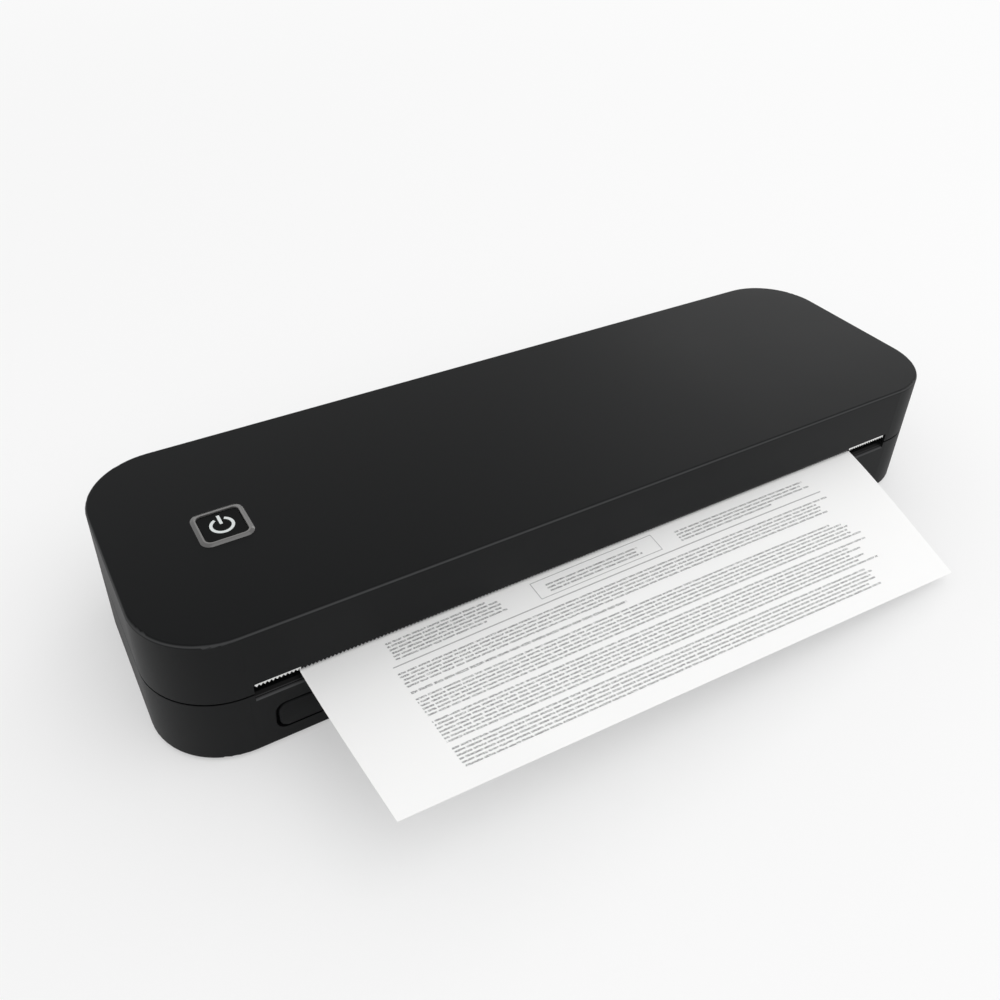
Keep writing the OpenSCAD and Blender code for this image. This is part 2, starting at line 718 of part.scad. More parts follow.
// A point of the sheet's middle by its row and its place across; row 0 is at the roll
function sheet_point(row, across) =
  row == 0 ? concat([paper_width * (across - 0.5)], feed_point(roll_tangent_along, path_lift)) :
  let (
    share = (row - 1) / sheet_steps,
    left = edge_height(share, sheet_start, left_corner_height, -left_curl, left_curl),
    right = edge_height(share, sheet_start, right_corner_height, -0.8 * right_fall, -1.05 * right_fall)
  )
  [
    paper_width * (across - 0.5) + exit_shift * (1 - share),
    front_y - share * (left_reach + (right_reach - left_reach) * across),
    left + (right - left) * across
  ];

// Sheet from the top of the roll through the slot, with its right corner low and its left edge held out
module paper_sheet() {
  rows = sheet_steps + 2;
  layer = rows * (sheet_columns + 1);
  function at(row, column) = row * (sheet_columns + 1) + column;
  points = [for (side = [1, -1]) for (row = [0 : rows - 1]) for (column = [0 : sheet_columns])
    sheet_point(row, column / sheet_columns) + [0, 0, side * paper_thickness / 2]];
  skins = [for (row = [0 : rows - 2]) for (column = [0 : sheet_columns - 1]) let (
    a = at(row, column),
    b = at(row, column + 1),
    c = at(row + 1, column + 1),
    d = at(row + 1, column)
  ) each [[a, b, c], [a, c, d], [layer + a, layer + c, layer + b], [layer + a, layer + d, layer + c]]];
  rim = concat(
    [for (column = [0 : sheet_columns]) at(0, column)],
    [for (row = [1 : rows - 1]) at(row, sheet_columns)],
    [for (column = [sheet_columns - 1 : -1 : 0]) at(rows - 1, column)],
    [for (row = [rows - 2 : -1 : 1]) at(row, 0)]
  );
  sides = [for (i = [0 : len(rim) - 1]) let (
    a = rim[i],
    b = rim[(i + 1) % len(rim)]
  ) each [[a, layer + a, layer + b], [a, layer + b, b]]];
  color("#fafafa") polyhedron(points = points, faces = concat(skins, sides));
}
module paper_roll() {
  half = paper_width / 2;
  color("#f4f4f2") tube(-half, half, roll_y, roll_z, roll_radius, core_radius + same_body);
}
module roll_core() {
  half = paper_width / 2;
  color("#b08d62") tube(-half, half, roll_y, roll_z, core_radius, core_radius - core_wall);
}
module roll_spindle() {
  hub = core_radius - core_wall - same_body;
  color("#2c2d31") {
    bar(-frame_outer - 0.5, frame_outer + 0.5, roll_y, roll_z, journal_radius);
    for (turn = [0, 180]) translate([0, roll_y, roll_z]) rotate([0, 0, turn]) {
      bar(paper_width / 2 - 9, paper_width / 2 + 1.6, 0, 0, hub);
      bar(paper_width / 2 + 0.1, paper_width / 2 + 1.6, 0, 0, core_radius + 2);
    }
  }
}

/* Platen and gears */

module platen_shaft() {
  color("#c4c6c9") {
    bar(-frame_inner + 1.5, frame_inner - 1.5, platen_y, platen_z, platen_shaft_radius);
    bar(-frame_outer - 1, gear_start + gear_width, platen_y, platen_z, gear_shaft_radius);
  }
}
module platen_sleeve() {
  reach = paper_width / 2 + 1.5;
  color("#2a2a2c") tube(-reach, reach, platen_y, platen_z, platen_radius, platen_shaft_radius + same_body);
}
module platen_gear() {
  color("#e6e4dc") translate([0, platen_y, platen_z])
    gear(platen_teeth, gear_start, gear_width, 0, gear_shaft_radius + same_body);
}

// Phase that puts a tooth gap of one gear against a tooth of its partner, seen along the line of centres
function meshing_phase(teeth, line_angle) = line_angle + 180 + 180 / teeth;
small_phase = meshing_phase(idler_small_teeth, 0);
pinion_phase = meshing_phase(pinion_teeth, motor_angle);
module idler_gear() {
  color("#e6e4dc") translate([0, idler_y, idler_z]) {
    gear(idler_small_teeth, gear_start, gear_width + 0.6, small_phase, stud_radius + running);
    gear(idler_large_teeth, large_start, large_width, motor_angle, stud_radius + running);
  }
}
module motor_shaft() {
  color("#c4c6c9") bar(large_start - 0.6, motor_from + motor_length - 3.2, motor_y, motor_z, 0.8);
}
module motor_pinion() {
  color("#caa24a") translate([0, motor_y, motor_z])
    gear(pinion_teeth, large_start - 0.4, large_width + 0.8, pinion_phase, 0.8 + same_body);
}

/* Release button and latch */

module release_button() {
  face_y = front_y + 0.15;
  color("#242528") {
    translate([0, face_y + 1.6, 0]) rotate([90, 0, 0]) linear_extrude(1.6) release_outline(0);
    translate([0, inner_front_y + 1.2, 0]) rotate([90, 0, 0]) linear_extrude(wall - 0.4)
      release_outline(-0.8);
    translate([0, inner_front_y + 1.2, 0]) rotate([90, 0, 0]) linear_extrude(1) release_outline(1.2);
    translate([release_x, latch_y - 2.2 - 0.1, latch_z + lever_reach]) rotate([90, 0, 0])
      cylinder(r = 1.4, h = latch_y - 2.2 - inner_front_y - 0.6);
  }
}
module latch_shaft() {
  color("#c4c6c9") bar(-hook_x - 2.2, hook_x + 2.2, latch_y, latch_z, latch_radius);
}

// Hook plates at both ends of the shaft, each with a nose that reaches towards the catch tab
nose_low = seam_low - 7.2;
nose_high = seam_low - 4.8;
nose_y = catch_y + catch_thickness + 0.25;
module latch_hooks() {
  color("#9a9da1") for (side = [-1, 1]) difference() {
    union() {
      bar(side * hook_x - 1.5, side * hook_x + 1.5, latch_y, latch_z, 2.8);
      prism_x(side * hook_x - 1.5, side * hook_x + 1.5, [
        [latch_y - 1.6, latch_z], [latch_y - 1.6, nose_low], [nose_y, nose_low], [nose_y, nose_high - 0.8],
        [latch_y - 1.6, nose_high + 0.4], [latch_y + 1.6, nose_high], [latch_y + 1.6, latch_z]
      ]);
    }
    bar(side * hook_x - 2, side * hook_x + 2, latch_y, latch_z, latch_radius + same_body);
  }
}
module release_lever() {
  color("#9a9da1") difference() {
    union() {
      bar(release_x - 3, release_x + 3, latch_y, latch_z, 2.8);
      prism_x(release_x - 3, release_x + 3, [
        [latch_y - 2, latch_z], [latch_y - 2, latch_z + lever_reach + 2],
        [latch_y + 0.6, latch_z + lever_reach + 2], [latch_y + 2, latch_z]
      ]);
    }
    bar(release_x - 4, release_x + 4, latch_y, latch_z, latch_radius + same_body);
  }
}

/* Cover pieces */

carrier_low = ceiling_z - 5;
carrier_y0 = front_y + 8;
carrier_y1 = front_y + 42;
ear_thickness = 2.6;
ear_x = paper_width / 2 + 1;
rod_along = 20;
rod_over = 5;
rod_place = feed_point(rod_along, rod_over);
rod_radius = 1.5;
carrier_skin = 1.4;
pillar_height = 2.4;
carrier_top = ceiling_z - pillar_height;
cover_screw_places = [for (i = [-3, -1, 1, 3], y = [carrier_y0 + 5, carrier_y1 - 5]) [i * paper_width / 7, y]];
cover_screw_radius = 1.1;
board_top = body_height - 7.4;

// Upper shell: top, walls, slot edge, catch tabs and the middle hinge knuckles
module top_cover() {
  tab_low = nose_low - 2.4;
  color("#232427") difference() {
    union() {
      difference() {
        translate([0, 0, seam_high])
          soft_block(body_length, body_depth, corner_radius, body_height - seam_high, 0.15, edge_round);
        plan_block(wall, seam_low, ceiling_z);
        knuckle_room(true);
      }
      hinge_knuckles(true);
      knuckle_web(true);
      // Catch tabs, on ribs behind the front wall
      for (side = [-1, 1]) difference() {
        union() {
          translate([side * hook_x - 3, catch_y, tab_low])
            cube([6, catch_thickness, ceiling_z - tab_low + overlap]);
          translate([side * hook_x - 1, catch_y + overlap, seam_high + 5])
            cube([2, 8, ceiling_z - seam_high - 5 + overlap]);
        }
        translate([side * hook_x - 2, catch_y - 1, nose_low - 0.4])
          cube([4, catch_thickness + 2, nose_high - nose_low + 1.2]);
      }
      for (p = cover_screw_places) translate([p[0], p[1], ceiling_z - pillar_height])
        cylinder(r = 2.6, h = pillar_height + overlap);
      // Posts for the button's circuit board
      for (s = [-1, 1]) translate([bezel_x, bezel_y + s * 9, board_top])
        cylinder(r = 2, h = ceiling_z - board_top + overlap);
      // Stiffening ribs under the top
      for (x = [-1, 0, 1] * (paper_width / 2 - 45))
        translate([x - 0.6, carrier_y1 + 2, carrier_top])
          cube([1.2, rear_y - wall - carrier_y1 - 2 + overlap, pillar_height + overlap]);
    }
    bar(-straight_half, straight_half, hinge_y, hinge_z, hinge_pin_radius + running);
    // Slot, with its ends rounded into the seam
    translate([0, inner_front_y + 0.8, 0]) rotate([90, 0, 0]) linear_extrude(wall + 2) {
      translate([-slot_length / 2, seam_low - 1])
        square([slot_length, slot_rise + 1 + seam_gap / 2 - 0.6]);
      translate([-slot_length / 2 + 0.6, seam_low - 1])
        square([slot_length - 1.2, slot_rise + 1 + seam_gap / 2]);
      for (side = [-1, 1]) translate([side * (slot_length / 2 - 0.6), slot_top - 0.6]) circle(r = 0.6);
    }
    // Groove for the tear bar in the slot's upper edge
    translate([-slot_length / 2 + 0.2, tear_y - same_body, slot_top - 1])
      cube([slot_length - 0.4, tear_thickness + 2 * same_body, tear_top - slot_top + 1 + same_body]);
    // Seat and hole for the bezel and the button
    translate([bezel_x, bezel_y, ceiling_z - 1]) linear_extrude(wall + 3)
      rounded_rect(bezel_size - 0.8, bezel_size - 0.8, bezel_radius - 0.4);
    for (p = cover_screw_places) translate([p[0], p[1], ceiling_z - 3])
      cylinder(r = cover_screw_radius + same_body, h = 4);
    for (s = [-1, 1]) translate([bezel_x, bezel_y + s * 9, board_top - 1]) cylinder(r = 0.9, h = 4);
  }
}

// Steel strip with a row of teeth that point down
module tear_bar() {
  half = slot_length / 2 - 0.4;
  count = floor(2 * half / tooth_pitch);
  start = -count * tooth_pitch / 2;
  color("#c9cbcd") translate([0, tear_y + tear_thickness, 0]) rotate([90, 0, 0]) linear_extrude(tear_thickness)
    polygon(concat(
      [[half, slot_top], [half, tear_top], [-half, tear_top], [-half, slot_top]],
      [for (i = [0 : count - 1]) each [
        [start + i * tooth_pitch + 0.05, slot_top - 0.3],
        [start + (i + 0.5) * tooth_pitch, slot_top - 0.3 - tooth_height],
        [start + (i + 1) * tooth_pitch - 0.05, slot_top - 0.3]
      ]]
    ));
}

// Raised rim round the power button, with a bevel outside and a skirt in the cover
module button_bezel() {
  top = body_height + bezel_proud;
  color("#6b6d70") translate([bezel_x, bezel_y, 0]) difference() {
    union() {
      translate([0, 0, body_height + 0.01])
        soft_block(bezel_size, bezel_size, bezel_radius, bezel_proud, 0.05, 0.4);
      translate([0, 0, ceiling_z - 0.6]) linear_extrude(wall + 0.8)
        rounded_rect(bezel_size - 0.9, bezel_size - 0.9, bezel_radius - 0.45);
    }
    translate([0, 0, ceiling_z - 2]) linear_extrude(top)
      rounded_rect(cap_size + 0.3, cap_size + 0.3, bezel_radius - bezel_rim + 0.6);
  }
}
module button_board() {
  color("#1f5a3c") difference() {
    translate([bezel_x - 7, bezel_y - 12, board_top - 1.2]) cube([10.2, 24, 1.2 - same_body]);
    for (s = [-1, 1]) translate([bezel_x, bezel_y + s * 9, 0]) cylinder(r = 0.9, h = body_height);
  }
  color("#cfd1d4") translate([bezel_x - 3, bezel_y - 3, board_top - 0.1]) cube([6, 6, 2]);
  color("#16171a") translate([bezel_x, bezel_y, board_top + 1.8]) cylinder(r = 1.6, h = 0.6);
}

// Moulded beam under the cover that carries the print head
module head_carrier() {
  ear_end = ear_x + ear_thickness;
  color("#303236") difference() {
    union() {
      translate([-ear_x, carrier_y0, carrier_low])
        cube([2 * ear_x, carrier_y1 - carrier_y0, carrier_top - carrier_low]);
      for (from = [-ear_x - ear_thickness, ear_x]) prism_x(from, from + ear_thickness, [
        [rod_place[0] - 6, carrier_top], [rod_place[0] - 3, rod_place[1] - 3],
        [rod_place[0] + 3, rod_place[1] - 3], [rod_place[0] + 6, carrier_top]
      ]);
    }
    translate([-ear_x + 2, carrier_y0 + 2, carrier_low - 1])
      cube([2 * ear_x - 4, carrier_y1 - carrier_y0 - 4, carrier_top - carrier_skin - carrier_low + 1]);
    bar(-ear_end - 1, ear_end + 1, rod_place[0], rod_place[1], rod_radius + same_body);
    for (p = cover_screw_places) translate([p[0], p[1], carrier_low - 1])
      cylinder(r = cover_screw_radius + 0.1, h = body_height);
    // Room for the power button's travel
    translate([bezel_x - bezel_size / 2 - 0.65, bezel_y - bezel_size / 2 - 0.65, carrier_top - 1])
      cube([bezel_size + 1.3, bezel_size + 1.3, 4]);
  }
}
module head_rod() {
  color("#c4c6c9") bar(-ear_x - ear_thickness, ear_x + ear_thickness, rod_place[0], rod_place[1], rod_radius);
}
spring_along = 5;
spring_foot = 4.9;
module head_springs() {
  place = feed_point(spring_along, spring_foot + 0.1);
  length = (carrier_top - carrier_skin - 1 - place[1]) / cos(feed_angle) - 1;
  color("#c4c6c9") for (x = [-1, 0, 1] * (paper_width / 2 - 25))
    translate([x, place[0], place[1] + 0.35]) rotate([feed_angle, 0, 0]) coil(2, 0.3, length - 0.35, 5);
}
module cover_screws() {
  color("#55585c") for (p = cover_screw_places)
    translate([p[0], p[1], carrier_top - carrier_skin]) rotate([180, 0, 0])
      screw(cover_screw_radius, carrier_skin + 2);
}

// Aluminium bar that backs the print head and swings on the rod
module heat_sink() {
  low = path_lift + paper_thickness / 2 + gap + 0.8;
  reach = paper_width / 2 - 1;
  color("#b9bcc0") difference() {
    union() {
      prism_x(-reach, reach, [
        feed_point(-4, low), feed_point(rod_along - 3, low), feed_point(rod_along - 3, low + 3),
        feed_point(-4, low + 3)
      ]);
      for (x = [-reach, -reach / 3 - 3, reach / 3 - 3, reach - 6]) prism_x(x, x + 6, [
        feed_point(rod_along - 8, low + 2.9), feed_point(rod_along - 8, low + 3.6),
        feed_point(rod_along - 2, rod_over + 2.8), feed_point(rod_along + 2.8, rod_over + 2.8),
        feed_point(rod_along + 2.8, rod_over - 2.8), feed_point(rod_along - 4, low)
      ]);
    }
    bar(-body_length, body_length, rod_place[0], rod_place[1], rod_radius + running);
    for (i = [0 : 2]) prism_x(-reach - 1, reach + 1, [
      feed_point(8 + i * 3, low + 1.6), feed_point(9.2 + i * 3, low + 1.6),
      feed_point(9.2 + i * 3, low + 3.2), feed_point(8 + i * 3, low + 3.2)
    ]);
  }
}
module print_head() {
  low = path_lift + paper_thickness / 2 + gap;
  reach = paper_width / 2 - 1;
  color("#e9e7df") prism_x(-reach, reach, [
    feed_point(-4, low), feed_point(9, low), feed_point(9, low + 0.78), feed_point(-4, low + 0.78)
  ]);
}
module head_driver_strip() {
  low = path_lift + paper_thickness / 2 + gap;
  reach = paper_width / 2 - 6;
  color("#111214") prism_x(-reach, reach, [
    feed_point(10, low + 0.1), feed_point(14, low + 0.1), feed_point(14.6, low + 0.78),
    feed_point(9.4, low + 0.78)
  ]);
}

module power_button() {
  color("#0c0c0e") translate([bezel_x, bezel_y, 0]) {
    translate([0, 0, ceiling_z - 2.2]) linear_extrude(1.4)
      rounded_rect(cap_size + 1.6, cap_size + 1.6, bezel_radius - bezel_rim + 1.2);
    translate([0, 0, ceiling_z - 1.4]) linear_extrude(body_height - ceiling_z + 1.4 + 0.1)
      rounded_rect(cap_size - 0.1, cap_size - 0.1, bezel_radius - bezel_rim + 0.4);
  }
}

// Generic power sign, let into the cap
module power_symbol() {
  outer = 3.6;
  inner = 2.7;
  color("#d5d8d8") translate([bezel_x, bezel_y, body_height + 0.11]) linear_extrude(0.12) {
    difference() {
      circle(r = outer);
      circle(r = inner);
      polygon([[0, 0], [-outer, 2 * outer], [outer, 2 * outer]]);
    }
    translate([-0.45, 0.6]) square([0.9, 4]);
  }
}

base_housing();
left_frame();
right_frame();
paper_bin();
platen_bushes();
battery_holder();
battery_cells();
main_board();
board_parts();
usb_socket();
cover_switch();
paper_sensor();
motor_bracket();
stepper_motor();
idler_stud();
hinge_pins();
rubber_feet();
case_screws();
board_screws();
motor_screws();
latch_spring();
paper_sheet();
platen_shaft();
platen_sleeve();
platen_gear();
idler_gear();
motor_shaft();
motor_pinion();
paper_roll();
roll_core();
roll_spindle();
release_button();
latch_shaft();
latch_hooks();
release_lever();
top_cover();
tear_bar();
button_bezel();
button_board();
head_carrier();
head_rod();
head_springs();
cover_screws();
heat_sink();
print_head();
head_driver_strip();
power_button();
power_symbol();
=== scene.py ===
"""Looks of a portable thermal printer for A4 paper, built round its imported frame.

Each sub-assembly is a class that dresses its frame nodes and builds the pieces that stand for
others. Lengths in the dataclass fields are metres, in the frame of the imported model.
"""

import logging
import math
from collections.abc import Sequence
from dataclasses import dataclass, field
from enum import Enum
from typing import Any, Union

import bmesh
import bpy
from mathutils import Matrix, Vector


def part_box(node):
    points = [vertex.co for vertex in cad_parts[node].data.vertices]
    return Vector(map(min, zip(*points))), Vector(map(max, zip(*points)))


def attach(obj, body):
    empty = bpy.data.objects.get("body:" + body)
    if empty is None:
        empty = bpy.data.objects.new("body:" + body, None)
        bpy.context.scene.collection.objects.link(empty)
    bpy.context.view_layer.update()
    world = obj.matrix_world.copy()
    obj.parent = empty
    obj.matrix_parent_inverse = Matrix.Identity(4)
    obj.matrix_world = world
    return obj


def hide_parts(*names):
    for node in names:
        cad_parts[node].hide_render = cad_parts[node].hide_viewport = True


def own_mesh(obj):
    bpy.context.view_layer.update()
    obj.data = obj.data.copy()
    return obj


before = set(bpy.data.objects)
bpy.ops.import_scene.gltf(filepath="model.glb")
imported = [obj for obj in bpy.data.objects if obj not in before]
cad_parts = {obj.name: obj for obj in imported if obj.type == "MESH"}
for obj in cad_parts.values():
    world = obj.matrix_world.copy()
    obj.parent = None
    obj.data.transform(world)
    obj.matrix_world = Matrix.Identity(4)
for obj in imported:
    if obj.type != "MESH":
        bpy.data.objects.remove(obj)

log = logging.getLogger("thermal_printer")
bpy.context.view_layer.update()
MM = 0.001
Colour = tuple[float, float, float]
Point = tuple[float, float, float]
Inputs = dict[str, Any]
Operand = Union["Signal", float]
Tint = Union["Signal", Colour]


# Shader maths


@dataclass(frozen=True)
class Signal:
    """A value, colour or vector that leaves a node, with its arithmetic written as Python."""

    tree: "Tree"
    socket: bpy.types.NodeSocket

    def _math(
        self, operation: str, first: Operand, second: Operand | None = None, clamp: bool = False
    ) -> "Signal":
        """Adds one Math node.

        Args:
            operation: The Math node's operation.
            first: Its first value or signal.
            second: Its second value or signal, where it has one.
            clamp: Whether the result stays between 0 and 1.

        Returns:
            The node's value.
        """
        settings = {"operation": operation, "use_clamp": clamp}
        inputs = {0: first} if second is None else {0: first, 1: second}
        return self.tree.node("ShaderNodeMath", settings, inputs).out("Value")

    def __add__(self, other: Operand) -> "Signal":
        """Sum of two values."""
        return self._math("ADD", self, other)

    def __radd__(self, other: Operand) -> "Signal":
        """Sum with a number on the left."""
        return self._math("ADD", other, self)

    def __sub__(self, other: Operand) -> "Signal":
        """Difference of two values."""
        return self._math("SUBTRACT", self, other)

    def __rsub__(self, other: Operand) -> "Signal":
        """Difference with a number on the left."""
        return self._math("SUBTRACT", other, self)

    def __mul__(self, other: Operand) -> "Signal":
        """Product of two values."""
        return self._math("MULTIPLY", self, other)

    def __rmul__(self, other: Operand) -> "Signal":
        """Product with a number on the left."""
        return self._math("MULTIPLY", other, self)

    def __truediv__(self, other: Operand) -> "Signal":
        """Quotient of two values."""
        return self._math("DIVIDE", self, other)

    def __pow__(self, other: Operand) -> "Signal":
        """Power of a value."""
        return self._math("POWER", self, other)

    def __gt__(self, other: Operand) -> "Signal":
        """1 where this value is the greater one, otherwise 0."""
        return self._math("GREATER_THAN", self, other)

    def __lt__(self, other: Operand) -> "Signal":
        """1 where this value is the lesser one, otherwise 0."""
        return self._math("LESS_THAN", self, other)

    def floor(self) -> "Signal":
        """The whole number below this value."""
        return self._math("FLOOR", self)

    def fraction(self) -> "Signal":
        """What is left of this value above the whole number below it."""
        return self._math("FRACT", self)

    def absolute(self) -> "Signal":
        """This value without its sign."""
        return self._math("ABSOLUTE", self)

    def clamped(self) -> "Signal":
        """This value held between 0 and 1."""
        return self._math("ADD", self, 0.0, clamp=True)

    def greater(self, other: Operand) -> "Signal":
        """The greater of two values."""
        return self._math("MAXIMUM", self, other)

    def mapped(
        self, low: float, high: float, to_low: float = 0.0, to_high: float = 1.0
    ) -> "Signal":
        """Moves the span from low to high onto another one, held at its ends.

        Args:
            low: Start of the span.
            high: End of the span.
            to_low: Value at the start.
            to_high: Value at the end.

        Returns:
            The mapped value.
        """
        inputs = {"Value": self, "From Min": low, "From Max": high}
        inputs |= {"To Min": to_low, "To Max": to_high}
        return self.tree.node("ShaderNodeMapRange", {"clamp": True}, inputs).out("Result")

    def spread(self, to_low: float = 0.0, to_high: float = 1.0) -> "Signal":
        """Moves soft noise, which hardly leaves 0.3 to 0.7, onto a span of values."""
        return self.mapped(0.3, 0.7, to_low, to_high)

    def part(self, axis: str) -> "Signal":
        """The X, Y or Z of a vector."""
        return self.tree.node("ShaderNodeSeparateXYZ", {}, {"Vector": self}).out(axis)


@dataclass(frozen=True)
class Node:
    """One shader node that was just made."""

    tree: "Tree"
    made: bpy.types.Node

    def out(self, name: str | int = 0) -> Signal:
        """An output of the node, by its name or number."""
        return Signal(self.tree, self.made.outputs[name])


class Tree:
    """The node tree of one material or of the world."""

    def __init__(self, owner: bpy.types.Material | bpy.types.World) -> None:
        """Empties the owner's tree.

        Args:
            owner: The material or the world.
        """
        owner.use_nodes = True
        self.tree = owner.node_tree
        self.tree.nodes.clear()

    def node(
        self,
        kind: str,
        settings: dict[str, Any] | None = None,
        inputs: dict[str | int, Any] | None = None,
    ) -> Node:
        """Adds one node.

        Args:
            kind: The node's type.
            settings: Its own settings, and the stops of a colour ramp under the name stops.
            inputs: Values or signals of its sockets, by name or number.

        Returns:
            The node.
        """
        made = self.tree.nodes.new(kind)
        for name, value in (settings or {}).items():
            if name == "stops":
                ramp = made.color_ramp
                while len(ramp.elements) < len(value):
                    ramp.elements.new(1.0)
                for element, (place, colour) in zip(ramp.elements, value):
                    element.position = place
                    element.color = (*colour, 1.0)
            else:
                setattr(made, name, value)
        for name, value in (inputs or {}).items():
            socket = made.inputs[name]
            if isinstance(value, Signal):
                self.tree.links.new(value.socket, socket)
            elif isinstance(value, tuple) and len(value) == 3 and socket.type == "RGBA":
                socket.default_value = (*value, 1.0)
            else:
                socket.default_value = value
        return Node(self, made)

    def place(self) -> Signal:
        """The point of the surface in the frame, in metres."""
        return self.node("ShaderNodeTexCoord").out("Object")

    def stretched(self, scale: Point) -> Signal:
        """The point of the surface with each axis scaled."""
        inputs = {"Vector": self.place(), "Scale": scale}
        return self.node("ShaderNodeMapping", {}, inputs).out("Vector")

    def noise(self, scale: float, detail: float = 2.0, at: Signal | None = None) -> Signal:
        """Soft noise from 0 to 1, of so many waves per metre and octaves."""
        inputs = {"Vector": at or self.place(), "Scale": scale, "Detail": detail}
        return self.node("ShaderNodeTexNoise", {}, inputs).out(0)

    def cells(self, scale: float) -> Signal:
        """Distance to the middle of the nearest cell, of so many per metre."""
        inputs = {"Vector": self.place(), "Scale": scale}
        return self.node("ShaderNodeTexVoronoi", {"feature": "F1"}, inputs).out("Distance")

    def upward(self) -> Signal:
        """How far the surface faces up, from -1 to 1."""
        return self.node("ShaderNodeTexCoord").out("Normal").part("Z")

    def mix(self, share: Operand, first: Tint, second: Tint) -> Signal:
        """Mixes two colours.

        Args:
            share: Share of the second one.
            first: The first colour.
            second: The second colour.

        Returns:
            The mixed colour.
        """
        made = self.tree.nodes.new("ShaderNodeMix")
        made.data_type = "RGBA"
        named = [("Factor", "VALUE", share), ("A", "RGBA", first), ("B", "RGBA", second)]
        for name, kind, value in named:
            socket = next(s for s in made.inputs if s.name == name and s.type == kind)
            if isinstance(value, Signal):
                self.tree.links.new(value.socket, socket)
            else:
                socket.default_value = (*value, 1.0) if isinstance(value, tuple) else value
        return Signal(self, next(s for s in made.outputs if s.type == "RGBA"))

    def bump(self, height: Signal, depth: float) -> Signal:
        """A normal from a height, where a height of 1 stands for a depth in metres."""
        inputs = {"Height": height, "Distance": depth, "Strength": 1.0}
        return self.node("ShaderNodeBump", {}, inputs).out("Normal")

    def seen_rays(self) -> Signal:
        """Tells the rays that show the floor from those that light it.

        Returns:
            1 for rays from the camera, from gloss and through glass, otherwise 0.
        """
        path = self.node("ShaderNodeLightPath")
        seen = path.out("Is Camera Ray").greater(path.out("Is Glossy Ray"))
        return seen.greater(path.out("Is Transmission Ray"))


# Finishes


def scaled(colour: Colour, factor: float, lift: float = 0.0) -> Colour:
    """A colour with its parts multiplied and lifted, and none over 1."""
    return tuple(min(1.0, part * factor + lift) for part in colour)


@dataclass(frozen=True)
class Finish:
    """A procedural surface, which ends in one Principled shader."""

    name: str

    def material(self) -> bpy.types.Material:
        """Makes the finish as a material.

        Returns:
            The material.
        """
        made = bpy.data.materials.new(self.name)
        tree = Tree(made)
        shader = tree.node("ShaderNodeBsdfPrincipled", {}, self.inputs(tree))
        tree.node("ShaderNodeOutputMaterial", {}, {"Surface": shader.out("BSDF")})
        return made

    def inputs(self, tree: Tree) -> Inputs:
        """Values and signals of the shader's sockets, which each kind of finish gives."""
        raise NotImplementedError


